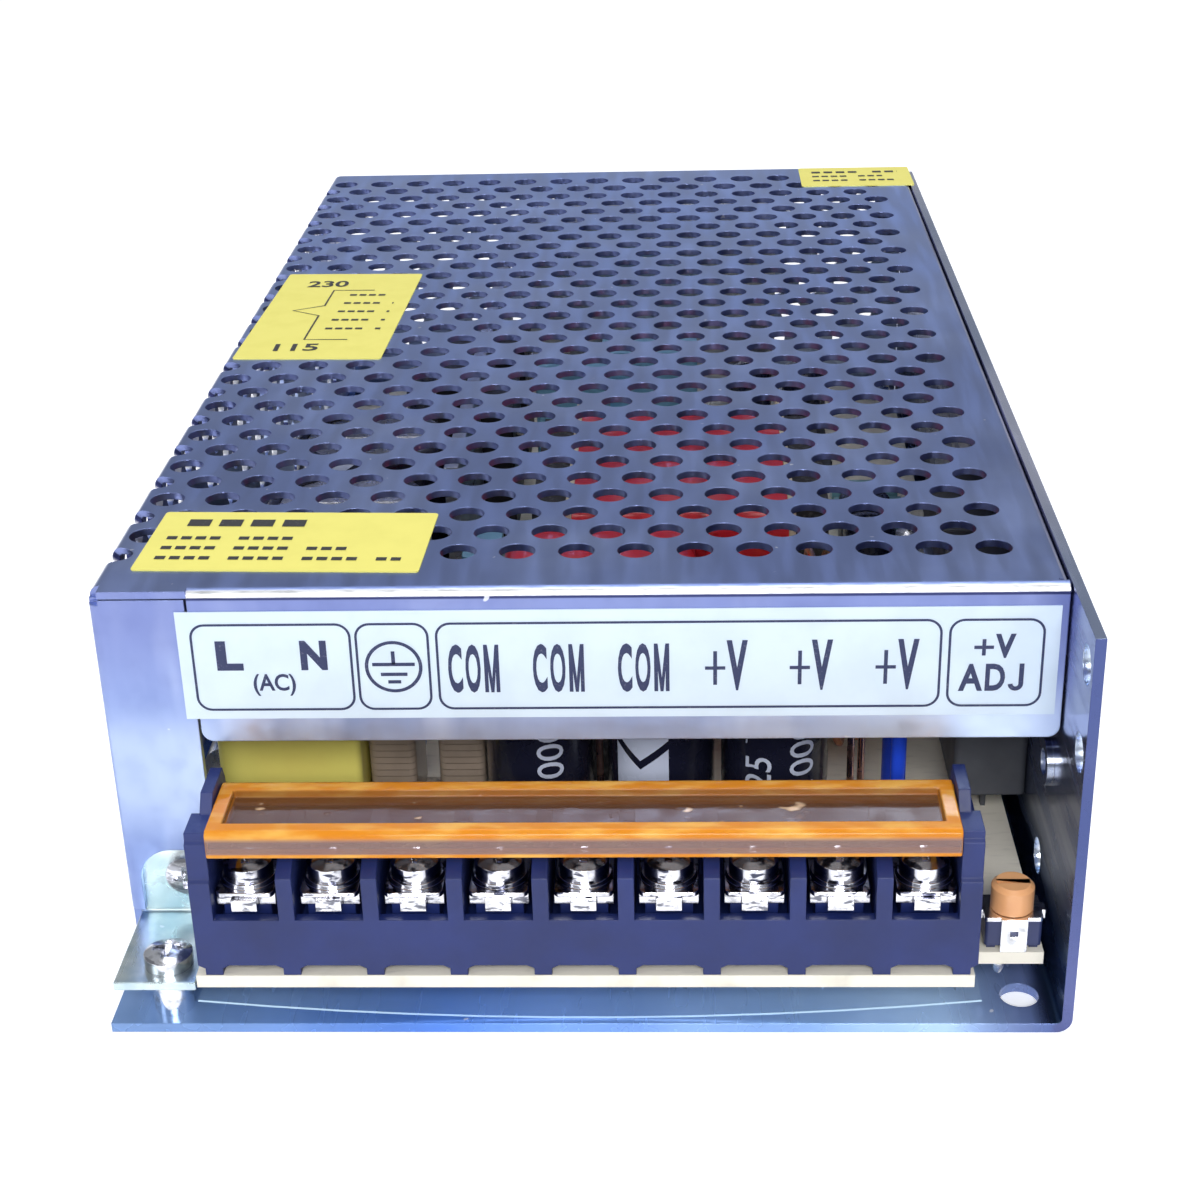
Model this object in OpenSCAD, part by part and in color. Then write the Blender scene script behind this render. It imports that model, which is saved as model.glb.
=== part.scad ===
// Mesh case switching power supply with an open nine-way terminal block.
// X runs across the case, Y from the terminal end (-Y) to the rear, Z up.
// The origin is the centre of the case's footprint, on the surface it stands on.

/* [Case] */
// Length of the case, from the front edge of the chassis to the rear wall
case_l = 200; // [192:1:240]
// Width of the case
case_w = 110; // [110:1:140]
// Height of the case
case_h = 50; // [48:1:65]
// Thickness of the folded chassis sheet
chassis_t = 1.2; // [0.8:0.1:1.6]
// Thickness of the folded mesh cover sheet
cover_t = 0.9; // [0.6:0.1:1]
// How far the cover's front lip stands behind the chassis's front edge
cover_setback = 13.2; // [12.6:0.1:15]
// Height of the cover's front lip
lip_h = 19; // [16:0.5:20]
// Width of the cover's narrow front flange, beside the terminals
flange_w = 10.9; // [9:0.1:10.9]
// Height of the flange's lower end above the floor
flange_lift = 7.9; // [7.6:0.1:10]

/* [Mesh] */
// Diameter of the vent holes
hole_d = 4.2; // [3:0.1:4.4]
// Target spacing of the vent holes along a row
hole_pitch = 6.75; // [6.5:0.05:9]
// Spacing of the rows of vent holes
row_pitch = 5.45; // [5.2:0.05:8]
// Plain margin from the lip to the first row of hole centres
mesh_front = 10.1; // [8:0.1:14]
// Plain margin from the right side to the first column of hole centres
mesh_right = 8.4; // [7:0.1:12]

/* [Circuit board] */
// Thickness of the circuit board
board_t = 1.6; // [1:0.1:2]
// Height of the standoffs under the board
standoff_h = 5.3; // [5:0.1:7]
// Diameter of the standoffs
standoff_d = 5; // [4.5:0.1:6]

/* [Terminals] */
// Number of terminals
terminal_count = 9; // [3:1:9]
// Spacing of the terminals
terminal_pitch = 9.5; // [8.5:0.1:9.5]
// Thickness of the barriers between terminals
barrier_t = 1.8; // [1.2:0.1:2]
// Thickness of the block's end walls
end_t = 2.4; // [2:0.1:3]
// Depth of the terminal block, front to rear
block_depth = 15.5; // [15:0.1:15.8]
// Diameter of the terminal screw heads
terminal_head_d = 5.6; // [4.8:0.1:6]
// Diameter of the terminal screw shanks
terminal_shank_d = 3.4; // [2.8:0.1:3.6]

/* [Terminal cover] */
// Thickness of the hinged cover at its rims
flap_t = 2; // [1.5:0.1:2.2]
// Height of the hinged cover's front lip
flap_lip_h = 3.4; // [2.6:0.1:3.8]
// Diameter of the hinge pins
hinge_pin_d = 1.7; // [1.2:0.1:2]

/* [Adjuster] */
// Diameter of the output voltage adjuster's knob
knob_d = 4.9; // [4:0.1:5.6]
// Height of the knob
knob_h = 3.3; // [2.5:0.1:4]

/* [Mounting] */
// Diameter of the mounting holes
mount_hole_d = 4.5; // [3.5:0.1:4.8]
// Distance between the two base mounting holes
base_mount_pitch = 150; // [120:1:170]
// Distance between the two side mounting holes
side_mount_pitch = 150; // [120:1:155]

/* [Components] */
// Diameter of the output capacitors
out_cap_d = 13; // [10:0.5:13.5]
// Height of the output capacitors
out_cap_h = 25; // [20:0.5:30]
// Diameter of the mains reservoir capacitors
bulk_cap_d = 22; // [18:0.5:22]
// Height of the mains reservoir capacitors
bulk_cap_h = 32; // [25:0.5:35]
// Outside diameter of the output choke's ring
choke_d = 27; // [22:0.5:27]

/* [Hidden] */
$fn = 48;

// ---- case ----
front_y = -case_l / 2;
rear_y = case_l / 2;
left_x = -case_w / 2;
right_x = case_w / 2;
seam = 0.1;
wall_x = right_x - chassis_t;
cover_x1 = wall_x - seam;
lip_y = front_y + cover_setback;
cover_under = case_h - cover_t;
fold_r = cover_t + 0.3;
chassis_fold_r = chassis_t + 0.6;
fold_lap = 0.05;
relief = 0.5;
lip_x0 = left_x + flange_w + 0.3;
upstand_x = left_x + cover_t + seam;
upstand_h = 9;
upstand_y0 = lip_y + cover_t + 2;
floor_y1 = rear_y - cover_t - seam;
side_screw_inset = 40;
side_screw_z = 5.6;
top_screw_drop = 5.5;
inner_flange_h = 9;
cover_screw_head_d = 5.2;
cover_screw_shank_d = 2.8;

// ---- mounting holes ----
base_hole_x = right_x - 5.2;
base_hole_y = front_y + 5.4;
side_hole_y = front_y + 21.4;
side_hole_z = 10;
front_hole_y = front_y + 3.2;
front_hole_z = [34.7, 45.4];
nut_y = front_y + 18.2;
nut_z = 24.9;
nut_d = 5.6;
nut_h = 0.8;
nut_bore_d = 3.2;

// ---- vent hole pattern ----
columns = round((case_w - mesh_right) / hole_pitch);
column_pitch = (case_w - mesh_right) / columns;
mesh_y0 = lip_y + mesh_front;
mesh_rear = 7.5;
rows = floor((rear_y - mesh_rear - mesh_y0) / row_pitch) + 1;
wall_mesh_foot = upstand_h + hole_d / 2 + 1;
wall_columns = floor((case_h - wall_mesh_foot) / column_pitch);
rear_mesh_top = 6.5;
rear_rows = floor((case_h - rear_mesh_top - wall_mesh_foot) / row_pitch) + 1;

// ---- board ----
board_z = chassis_t + standoff_h;
board_top = board_z + board_t;
board_x0 = left_x + 3;
board_x1 = wall_x - 1.8;
board_y0 = front_y + 4.1;
board_y1 = rear_y - 4;
board_screw_hole_d = 3.2;
board_screw_shank_d = 2.9;
board_screw_bore_d = 3;
board_screw_head_d = 5.6;

// ---- bracket beside the terminal block ----
bracket_t = 1.1;
bracket_w = 9.5;
bracket_x0 = left_x + 1;
bracket_x1 = bracket_x0 + bracket_w;
bracket_z = board_z - 0.5;
bracket_y0 = front_y - 0.3;
tab_y0 = lip_y + cover_t + seam;
tab_y1 = tab_y0 + bracket_t;
bracket_fold_r = bracket_t + 0.5;
bracket_tab_top = flange_lift + 9.6;
bracket_post_d = 4.6;
bracket_screw_x = bracket_x1 - 3.8;
bracket_screw_y = front_y + 3.6;
notch_top = flange_lift + 8.4;
notch_r = 4;
notch_x0 = left_x + 1.8;
tab_screw_z = flange_lift + 4.9;
tab_screw_x = bracket_x1 - 3.2;
tab_screw_head_d = 5;

// ---- terminal block ----
block_half = terminal_count * terminal_pitch / 2 + end_t / 2;
block_y0 = front_y - 0.2;
block_y1 = block_y0 + block_depth;
block_z = board_top + 1.3;
sill_h = 6.1;
sill_t = 1.4;
compartment_floor = 4.1;
barrier_front_h = 11.5;
barrier_h = 13.2;
pillar_w = 5.4;
plate_z = block_z + 7.1;
plate_t = 1.5;
plate_w = terminal_pitch - end_t - 0.4;
washer_t = 1.2;
washer_z = plate_z + plate_t;
terminal_y = block_y0 + 4.6;
terminal_head_h = 2.3;
rear_wall_t = 3.4;
rear_wall_h = 14.6;
flap_y0 = block_y0 - 0.4;
hinge_y = block_y0 + 10;
hinge_z = block_z + 16.5;
hinge_r = 1.4;
hinge_clearance = 0.05;
flap_gap = 0.15;
flap_half = block_half - end_t - flap_gap;
flap_top = hinge_z + hinge_r;
hinge_pin_l = 1.2;

label_t = 0.15;

// ---- adjuster ----
adjuster_x = wall_x - 5.3;
adjuster_y = front_y + 7;
adjuster_body_w = 6.4;
adjuster_body_d = 4.8;
adjuster_body_h = 3.2;
adjuster_plate_t = 0.5;
adjuster_plate_z = board_top + 0.6 + adjuster_body_h;
knob_spindle_d = 1.6;

// ---- selector switch ----
selector_y = 13;
selector_z = board_top + 6.4;
selector_travel = 6;
selector_x0 = upstand_x + chassis_t + 0.2;
selector_w = 8;
selector_l = 20;
selector_h = 11;
selector_slot_d = 3.2;
slider_l = 5.6;
slider_h = 3.8;
selector_gap = 0.3;

// ---- components on the board, front group ----
board_post_x = [board_x0 + 3.4, board_x1 - 3.4];
board_post_left_y = [front_y + 27.2, front_y + 94, rear_y - 12];
board_post_right_y = [front_y + 53, front_y + 120, rear_y - 12];
x_cap_size = [17.5, 11, 24];
x_cap_at = [left_x + 18.3, front_y + 30.5];
filter_at = [left_x + 34.6, front_y + 34];
filter_w = 12;
filter_h = 20;
filter_limb = 3.4;
filter_depth = 8;
fuse_x = left_x + 7;
fuse_y = front_y + 48;
fuse_l = 20;
fuse_d = 5;
fuse_cap_l = 5;
fuse_z = board_top + 5;
disc_x = left_x + 17;
disc_y = front_y + 43;
bulk_x = left_x + 21.5;
bulk_y = [front_y + 62, front_y + 86];
out_cap_x = [-6.3, 8.5, 22.3];
out_cap_y = front_y + 28;
lead_d = 0.9;
wire_d = 1.8;
wire_x = 36.7;
wire_bend_r = 5;

// ---- transformers and choke ----
centre_x = 11;
transformer_y0 = front_y + 60.6;
transformer_w = 29;
transformer_l = 42;
transformer_top = board_top + 30;
winding_z = board_top + 4;
core_t = 5.5;
core_z = board_top + 13;
core_h = 12;
limb_y = transformer_y0 + 15;
barrier_y = transformer_y0 + transformer_l + 0.4;
barrier_plate_t = 2;
flange_t = 0.9;
driver_x = 0.5;
driver_w = 25;
driver_l = 13.4;
driver_y0 = front_y + 44.6;
driver_limb = 9;
driver_limb_z = 12;
limb_gap = 0.1;
coil_corner_r = 3;
driver_yoke_t = 1.8;
choke_x = 29;
choke_w = 11.6;
choke_wire_t = 2;
choke_y = front_y + 54;
choke_z = board_top + choke_d / 2;
choke_turns = 24;
choke_ring_t = 5;
choke_ring_clearance = 0.05;

// ---- output rectifiers on the right wall ----
rectifier_size = [9, 19, 26];
rectifier_z = board_top + 4;
rectifier_y = [front_y + 41.5, front_y + 64.5];
clamp_t = 1.2;
clamp_h = 8;
clamp_screw_y = (rectifier_y[0] + rectifier_y[1]) / 2;
clamp_screw_z = rectifier_z + 16;

// ---- rear group, spaced out in the room behind the transformer ----
rear_room_y0 = barrier_y + barrier_plate_t + 0.3 + core_t;
rear_room_y1 = rear_y - 16;
function rear_at(share) = rear_room_y0 + share * (rear_room_y1 - rear_room_y0);
heatsink_x = left_x + 34;
heatsink_t = 2;
heatsink_y0 = front_y + 76;
heatsink_y1 = rear_room_y1 - 6;
heatsink_top = board_top + 31;
device_z = board_top + 6;
transistor_size = [5, 16, 21];
bridge_size = [6, 24, 22];
// The bridge sits behind the sink between the two transistors' screws
bridge_screw_gap = 2.3;
bridge_y = rear_at(0.1) + bridge_screw_gap + bridge_size[1] / 2;
transistor_y = [rear_at(0.1), bridge_y + bridge_size[1] / 2 + bridge_screw_gap];
device_hole_z = 15;
screw_reach = 1.5;
rear_sink_w = 48;
rear_sink_x = 5;
rear_sink_y = rear_room_y1;
rear_sink_l = 13;
rear_sink_t = 1.5;
rear_sink_top = board_top + 36;

// ======== shared shapes ========

// Extrudes a profile drawn in (x, z) along Y, from y0 to y1
module along_y(y0, y1) {
    translate([0, y1, 0]) rotate([90, 0, 0]) linear_extrude(y1 - y0) children();
}

// Extrudes a profile drawn in (y, z) along X, from x0 to x1
module along_x(x0, x1) {
    translate([x0, 0, 0]) rotate([90, 0, 90]) linear_extrude(x1 - x0) children();
}

// A rectangle from (x0, y0) to (x1, y1)
module rect(x0, y0, x1, y1) {
    translate([x0, y0]) square([x1 - x0, y1 - y0]);
}

// A rectangle with round corners, centred on the origin
module round_rect(w, h, r) {
    union() {
        square([w - 2 * r, h], center = true);
        square([w, h - 2 * r], center = true);
        for (sx = [-1, 1], sy = [-1, 1]) translate([sx * (w / 2 - r), sy * (h / 2 - r)]) circle(r);
    }
}

// A quarter of a sheet's fold, seen end on: outer radius r, sheet t, turned by angle a.
// Its two short tails lie inside the flat stretches that it joins.
module fold(r, t, a) {
    rotate(a) union() {
        intersection() {
            difference() {
                circle(r);
                circle(r - t);
            }
            square(r);
        }
        rect(r - t, -fold_lap, r, 0);
        rect(-fold_lap, r - t, 0, r);
    }
}

// A pan head screw pointing down: the head's underside is at z = 0
module pan_screw(head_d, head_h, shank_d, shank_l) {
    slot_w = head_d * 0.15;
    difference() {
        union() {
            rotate_extrude() intersection() {
                rect(0, 0, head_d / 2, head_h);
                translate([0, head_h - head_d]) circle(head_d);
            }
            translate([0, 0, -shank_l]) cylinder(d = shank_d, h = shank_l + 0.1);
        }
        for (a = [0, 90]) rotate(a) translate([-head_d * 0.3, -slot_w / 2, head_h * 0.45])
            cube([head_d * 0.6, slot_w, head_h]);
    }
}

// A radial can capacitor standing on z = 0: a sleeve crimped near its foot and a rounded shoulder
module can_capacitor(d, h) {
    shoulder = 0.9;
    crimp_z = 2.6;
    difference() {
        rotate_extrude() union() {
            rect(0, 0, d / 2, h - shoulder);
            rect(0, h - shoulder - 0.1, d / 2 - shoulder, h);
            translate([d / 2 - shoulder, h - shoulder]) circle(shoulder);
        }
        translate([0, 0, crimp_z]) rotate_extrude() translate([d / 2 + 0.35, 0]) circle(0.8);
        translate([0, 0, h - 0.3]) cylinder(d = d - 3.6, h = 1);
    }
}

// A box with upright edges rounded, standing on z = 0 and centred in X and Y
module soft_box(w, l, h, r) {
    linear_extrude(h) round_rect(w, l, r);
}

// ======== vent holes ========

// Rows of vent holes: the first is at (0, 0), columns run along -X, and every second row is
// shifted by half a pitch
module hex_holes(row_count, column_count, row_step, column_step) {
    for (i = [0:row_count - 1], j = [0:column_count - 1])
        translate([-(j + (i % 2) / 2) * column_step, i * row_step]) circle(d = hole_d, $fn = 24);
}

// ======== case ========

module chassis_floor() {
    difference() {
        linear_extrude(chassis_t) polygon([
            [left_x, front_y], [right_x - chassis_fold_r, front_y],
            [right_x - chassis_fold_r, floor_y1], [upstand_x + chassis_fold_r, floor_y1],
            [upstand_x + chassis_fold_r, lip_y - 0.3], [left_x, lip_y - 0.3]]);
        for (y = [base_hole_y, base_hole_y + base_mount_pitch])
            translate([base_hole_x, y, -1]) cylinder(d = mount_hole_d, h = chassis_t + 2);
    }
}

module chassis_wall() {
    corner_r = 5;
    along_x(wall_x, right_x) difference() {
        union() {
            rect(front_y, chassis_fold_r, rear_y, case_h - corner_r);
            rect(front_y, chassis_fold_r, rear_y - corner_r, case_h);
            translate([rear_y - corner_r, case_h - corner_r]) circle(corner_r);
        }
        for (z = front_hole_z) translate([front_hole_y, z]) circle(d = mount_hole_d);
        for (y = [side_hole_y, side_hole_y + side_mount_pitch])
            translate([y, side_hole_z]) circle(d = mount_hole_d);
        for (s = [-1, 1]) translate([s * (rear_y - side_screw_inset), case_h - top_screw_drop])
            circle(d = cover_screw_head_d);
        translate([clamp_screw_y, clamp_screw_z]) circle(d = board_screw_bore_d);
        translate([nut_y, nut_z]) circle(d = nut_bore_d);
    }
}

// One folded sheet: floor, right wall and a low upstand inside the cover's left wall
module chassis() {
    color([0.62, 0.68, 0.74]) union() {
        chassis_floor();
        along_y(front_y, floor_y1) translate([right_x - chassis_fold_r, chassis_fold_r])
            fold(chassis_fold_r, chassis_t, 270);
        chassis_wall();
        along_y(upstand_y0, floor_y1) translate([upstand_x + chassis_fold_r, chassis_fold_r])
            fold(chassis_fold_r, chassis_t, 180);
        along_x(upstand_x, upstand_x + chassis_t) difference() {
            rect(upstand_y0, chassis_fold_r, floor_y1, upstand_h);
            for (s = [-1, 1]) translate([s * (rear_y - side_screw_inset), side_screw_z])
                circle(d = cover_screw_shank_d);
        }
        translate([wall_x, nut_y, nut_z]) rotate([0, -90, 0]) difference() {
            cylinder(d = nut_d, h = nut_h);
            translate([0, 0, -1]) cylinder(d = nut_bore_d, h = nut_h + 2);
        }
    }
}

module cover_top() {
    translate([0, 0, cover_under]) linear_extrude(cover_t) difference() {
        polygon([
            [left_x + fold_r, lip_y], [lip_x0, lip_y], [lip_x0, lip_y + fold_r],
            [cover_x1 - fold_r, lip_y + fold_r], [cover_x1 - fold_r, rear_y - fold_r],
            [left_x + fold_r, rear_y - fold_r]]);
        translate([right_x - mesh_right, mesh_y0])
            hex_holes(rows, columns, row_pitch, column_pitch);
    }
}

// The wall is left plain round the selector's window
module cover_left_wall() {
    window_y = selector_y + selector_travel / 2;
    window_l = selector_travel + 10;
    window_h = 6.4;
    plain_band = 6;
    along_x(left_x, left_x + cover_t) difference() {
        rect(lip_y + fold_r, 0.3, rear_y, case_h - fold_r);
        for (i = [0:rows - 1], j = [1:wall_columns]) {
            y = mesh_y0 + i * row_pitch;
            z = case_h - (j - (i % 2) / 2) * column_pitch;
            if (abs(y - window_y) > window_l / 2 + plain_band || z > selector_z + window_h / 2 + plain_band)
                translate([y, z]) circle(d = hole_d, $fn = 24);
        }
        translate([window_y, selector_z]) square([window_l, window_h], center = true);
        for (s = [-1, 1]) translate([s * (rear_y - side_screw_inset), side_screw_z])
            circle(d = cover_screw_head_d);
    }
}

module cover_rear_wall() {
    along_y(rear_y - cover_t, rear_y) difference() {
        rect(left_x + cover_t + seam, 1.5, cover_x1, case_h - fold_r);
        translate([right_x - mesh_right, case_h - rear_mesh_top]) mirror([0, 1])
            hex_holes(rear_rows, columns, row_pitch, column_pitch);
    }
}

module cover_flange() {
    difference() {
        union() {
            along_y(lip_y, lip_y + cover_t)
                rect(left_x + fold_r, flange_lift, left_x + flange_w, cover_under - 0.15);
            translate([left_x + fold_r, lip_y + fold_r, flange_lift])
                linear_extrude(case_h - fold_r - relief - flange_lift) fold(fold_r, cover_t, 180);
        }
        along_y(lip_y - 1, lip_y + fold_r + 1) union() {
            translate([notch_x0 + notch_r, notch_top - notch_r]) circle(notch_r);
            rect(notch_x0, 0, left_x + flange_w + 1, notch_top - notch_r);
            rect(notch_x0 + notch_r, 0, left_x + flange_w + 1, notch_top);
        }
    }
}

module cover_lip() {
    lip_x1 = cover_x1 - 0.1;
    corner_r = 1.4;
    along_x(lip_x0, lip_x1) translate([lip_y + fold_r, case_h - fold_r]) fold(fold_r, cover_t, 90);
    along_y(lip_y, lip_y + cover_t) union() {
        rect(lip_x0, case_h - lip_h + corner_r, lip_x1, case_h - fold_r);
        rect(lip_x0 + corner_r, case_h - lip_h, lip_x1 - corner_r, case_h - fold_r);
        for (x = [lip_x0 + corner_r, lip_x1 - corner_r])
            translate([x, case_h - lip_h + corner_r]) circle(corner_r);
    }
}

// One folded sheet: perforated top, left and rear walls, a plain lip and flange in front,
// and a narrow flange inside the chassis's right wall
module mesh_cover() {
    color([0.45, 0.5, 0.66]) difference() {
        union() {
            cover_top();
            along_y(lip_y + fold_r + relief, rear_y - fold_r) translate([left_x + fold_r, case_h - fold_r])
                fold(fold_r, cover_t, 90);
            cover_left_wall();
            cover_rear_wall();
            along_x(left_x + fold_r, cover_x1 - fold_r) translate([rear_y - fold_r, case_h - fold_r])
                fold(fold_r, cover_t, 0);
            cover_flange();
            cover_lip();
            along_y(lip_y + fold_r + relief, rear_y - fold_r - relief)
                translate([cover_x1 - fold_r, case_h - fold_r]) fold(fold_r, cover_t, 0);
            along_x(cover_x1 - cover_t, cover_x1) difference() {
                rect(lip_y + fold_r + relief, case_h - inner_flange_h,
                    rear_y - fold_r - relief, case_h - fold_r);
                for (s = [-1, 1]) translate([s * (rear_y - side_screw_inset), case_h - top_screw_drop])
                    circle(d = cover_screw_shank_d);
            }
        }
        // Every second row of vents has a hole right on the left fold
        for (i = [0:2:rows - 1]) translate([left_x, mesh_y0 + i * row_pitch, case_h])
            rotate([0, -45, 0]) cylinder(d = hole_d, h = 8, center = true, $fn = 24);
    }
}

// Screws of the cover, sunk flush: two in the left wall and two in the right wall
module cover_screw(head_t, shank_l) {
    recess_w = 0.6;
    recess_l = 3;
    recess_d = 0.4;
    difference() {
        union() {
            cylinder(d = cover_screw_head_d - 0.2, h = head_t);
            translate([0, 0, -shank_l]) cylinder(d = cover_screw_shank_d - 0.1, h = shank_l + 0.1);
        }
        for (a = [0, 90]) rotate(a) translate([-recess_l / 2, -recess_w / 2, head_t - recess_d])
            cube([recess_l, recess_w, 1]);
    }
}

module cover_screws() {
    color([0.7, 0.72, 0.78]) for (s = [-1, 1]) {
        translate([upstand_x, s * (rear_y - side_screw_inset), side_screw_z]) rotate([0, -90, 0])
            cover_screw(cover_t + seam, chassis_t + 0.6);
        translate([cover_x1, s * (rear_y - side_screw_inset), case_h - top_screw_drop])
            rotate([0, 90, 0]) cover_screw(chassis_t + seam, cover_t + 2);
    }
}

// ======== board and what carries it ========

// Places its children at every standoff under the board
module at_posts() {
    for (y = board_post_left_y) translate([board_post_x[0], y, 0]) children();
    for (y = board_post_right_y) translate([board_post_x[1], y, 0]) children();
}

// Clear film, bowed so that its middle lies on the chassis floor and its sides rise
module insulating_film() {
    film_t = 0.25;
    film_r = 430;
    tongue_w = 89.6;
    tongue_l = 9;
    post_clearance = 1.2;
    color([0.75, 0.85, 0.95, 0.4]) difference() {
        along_y(front_y + 1, rear_y - 6) intersection() {
            translate([0, chassis_t + film_r]) difference() {
                circle(film_r, $fn = 1440);
                circle(film_r - film_t, $fn = 1440);
            }
            rect(board_x0 + 0.6, 0, board_x1 - 0.2, case_h);
        }
        for (s = [-1, 1]) translate([s * (tongue_w + case_w) / 2, front_y, 0])
            cube([case_w, 2 * tongue_l, 2 * case_h], center = true);
        at_posts() cylinder(d = standoff_d + post_clearance, h = board_top);
    }
}

module standoffs() {
    color([0.8, 0.82, 0.86]) {
        at_posts() translate([0, 0, chassis_t]) difference() {
            cylinder(d = standoff_d, h = standoff_h);
            translate([0, 0, -1]) cylinder(d = board_screw_bore_d, h = standoff_h + 2);
        }
        translate([bracket_screw_x, bracket_screw_y, chassis_t]) difference() {
            cylinder(d = bracket_post_d, h = bracket_z - chassis_t);
            translate([0, 0, -1]) cylinder(d = board_screw_bore_d, h = standoff_h + 2);
        }
    }
}

module board_screws() {
    color([0.75, 0.77, 0.8]) at_posts() translate([0, 0, board_top])
        pan_screw(board_screw_head_d, 2.2, board_screw_shank_d, board_t + 3.4);
}

module circuit_board() {
    tongue_x0 = bracket_x1 + 0.2;
    tongue_x1 = block_half - 0.3;
    color([0.93, 0.88, 0.74]) difference() {
        translate([0, 0, board_z]) linear_extrude(board_t) polygon([
            [tongue_x0, block_y0 - 0.1], [tongue_x1, block_y0 - 0.1], [tongue_x1, board_y0],
            [board_x1, board_y0], [board_x1, board_y1], [board_x0, board_y1],
            [board_x0, tab_y1 + 0.3], [tongue_x0, tab_y1 + 0.3]]);
        at_posts() cylinder(d = board_screw_hole_d, h = board_top + 1);
    }
}

// A folded strip: a foot screwed to its own post and a round-topped tab behind the cover's flange
module earth_bracket() {
    tab_r = 4.2;
    color([0.68, 0.76, 0.74]) difference() {
        union() {
            translate([0, 0, bracket_z]) linear_extrude(bracket_t)
                rect(bracket_x0, bracket_y0, bracket_x1, tab_y1 - bracket_fold_r);
            along_x(bracket_x0, bracket_x1) translate([tab_y1 - bracket_fold_r, bracket_z + bracket_fold_r])
                fold(bracket_fold_r, bracket_t, 270);
            along_y(tab_y0, tab_y1) union() {
                rect(bracket_x0, bracket_z + bracket_fold_r, bracket_x1, bracket_tab_top - tab_r);
                rect(bracket_x0 + tab_r, bracket_z + bracket_fold_r, bracket_x1 - tab_r, bracket_tab_top);
                for (x = [bracket_x0 + tab_r, bracket_x1 - tab_r])
                    translate([x, bracket_tab_top - tab_r]) circle(tab_r);
            }
        }
        translate([bracket_screw_x, bracket_screw_y, 0]) cylinder(d = board_screw_hole_d, h = case_h);
        translate([tab_screw_x, lip_y, tab_screw_z]) rotate([-90, 0, 0])
            cylinder(d = cover_screw_shank_d, h = 5);
    }
}

module bracket_screws() {
    color([0.78, 0.8, 0.82]) {
        translate([bracket_screw_x, bracket_screw_y, bracket_z + bracket_t])
            pan_screw(board_screw_head_d, 2.3, board_screw_shank_d, 4.4);
        translate([tab_screw_x, tab_y0, tab_screw_z]) rotate([90, 0, 0])
            pan_screw(tab_screw_head_d, 1.9, cover_screw_shank_d - 0.1, 3.5);
    }
}

// ======== terminal block ========

// X of the middle of terminal i, counted from the left
function terminal_x(i) = (i - (terminal_count - 1) / 2) * terminal_pitch;

// Places its children at the screw axis of every terminal
module at_terminals() {
    for (i = [0:terminal_count - 1]) translate([terminal_x(i), terminal_y, 0]) children();
}

// The side outline of a barrier between two terminals
module barrier_profile() {
    polygon([
        [block_y0, block_z], [block_y0, block_z + barrier_front_h],
        [block_y0 + 0.8, block_z + barrier_front_h + 0.6],
        [block_y0 + 3, block_z + barrier_h], [block_y1, block_z + barrier_h],
        [block_y1, block_z]]);
}

// The side outline of an end wall's full thickness: its front steps back twice as it rises
module end_profile() {
    step = 0.45;
    polygon([
        [block_y0, block_z], [block_y0, block_z + 10.9],
        [block_y0 + step, block_z + 11.3], [block_y0 + step, block_z + 15.7],
        [block_y0 + 2 * step, block_z + 16.1], [block_y0 + 2 * step, block_z + 17],
        [block_y0 + 5.2, block_z + 17], [block_y0 + 6.6, block_z + rear_wall_h],
        [block_y1, block_z + rear_wall_h], [block_y1, block_z]]);
}

// The thinner ear above an end wall that carries a hinge pin
module ear_profile() {
    ear_top = hinge_z + 2.5;
    polygon([
        [hinge_y - 5.2, block_z + rear_wall_h - 1], [hinge_y - 5.2, block_z + 17],
        [hinge_y - 3.6, ear_top], [hinge_y + 1.9, ear_top],
        [hinge_y + 2.7, ear_top - 1.6], [hinge_y + 2.7, block_z + rear_wall_h - 1]]);
}

module block_leg(x) {
    leg_w = 2;
    flare = 0.8;
    translate([x, 0]) polygon([
        [-leg_w / 2, board_top], [leg_w / 2, board_top], [leg_w / 2, block_z - flare / 2],
        [leg_w / 2 + flare, block_z], [-leg_w / 2 - flare, block_z], [-leg_w / 2, block_z - flare / 2]]);
}

module terminal_block() {
    ear_t = 1.4;
    leg_l = 3;
    end_leg_inset = 1.8;
    pillar_inset = 2.2;
    thread_floor = 1.6;
    color([0.13, 0.15, 0.27]) difference() {
        union() {
            along_x(-block_half, block_half) union() {
                rect(block_y0, block_z, block_y1, block_z + compartment_floor);
                rect(block_y0, block_z, block_y0 + sill_t, block_z + sill_h);
                rect(block_y1 - rear_wall_t, block_z, block_y1, block_z + rear_wall_h);
            }
            for (i = [1:terminal_count - 1]) {
                x = terminal_x(i) - terminal_pitch / 2;
                along_x(x - barrier_t / 2, x + barrier_t / 2) barrier_profile();
            }
            for (s = [-1, 1]) {
                inner = s * (block_half - end_t);
                along_x(min(inner, s * block_half), max(inner, s * block_half)) end_profile();
                along_x(min(inner, inner + s * ear_t), max(inner, inner + s * ear_t)) ear_profile();
            }
            for (i = [0:terminal_count - 1])
                translate([terminal_x(i) - pillar_w / 2, block_y0 + pillar_inset, block_z])
                    cube([pillar_w, block_depth - rear_wall_t - pillar_inset + 0.1, plate_z - block_z]);
            for (y = [block_y0, block_y1 - leg_l], i = [0:terminal_count])
                along_y(y, y + leg_l) block_leg(
                    i == 0 ? -block_half + end_leg_inset
                    : i == terminal_count ? block_half - end_leg_inset
                    : terminal_x(i) - terminal_pitch / 2);
        }
        at_terminals() translate([0, 0, block_z + thread_floor])
            cylinder(d = terminal_shank_d + 0.2, h = 2 * block_depth);
        translate([-block_half - 1, hinge_y, hinge_z]) rotate([0, 90, 0])
            cylinder(d = hinge_pin_d + 2 * hinge_clearance, h = 2 * block_half + 2);
    }
}

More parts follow.
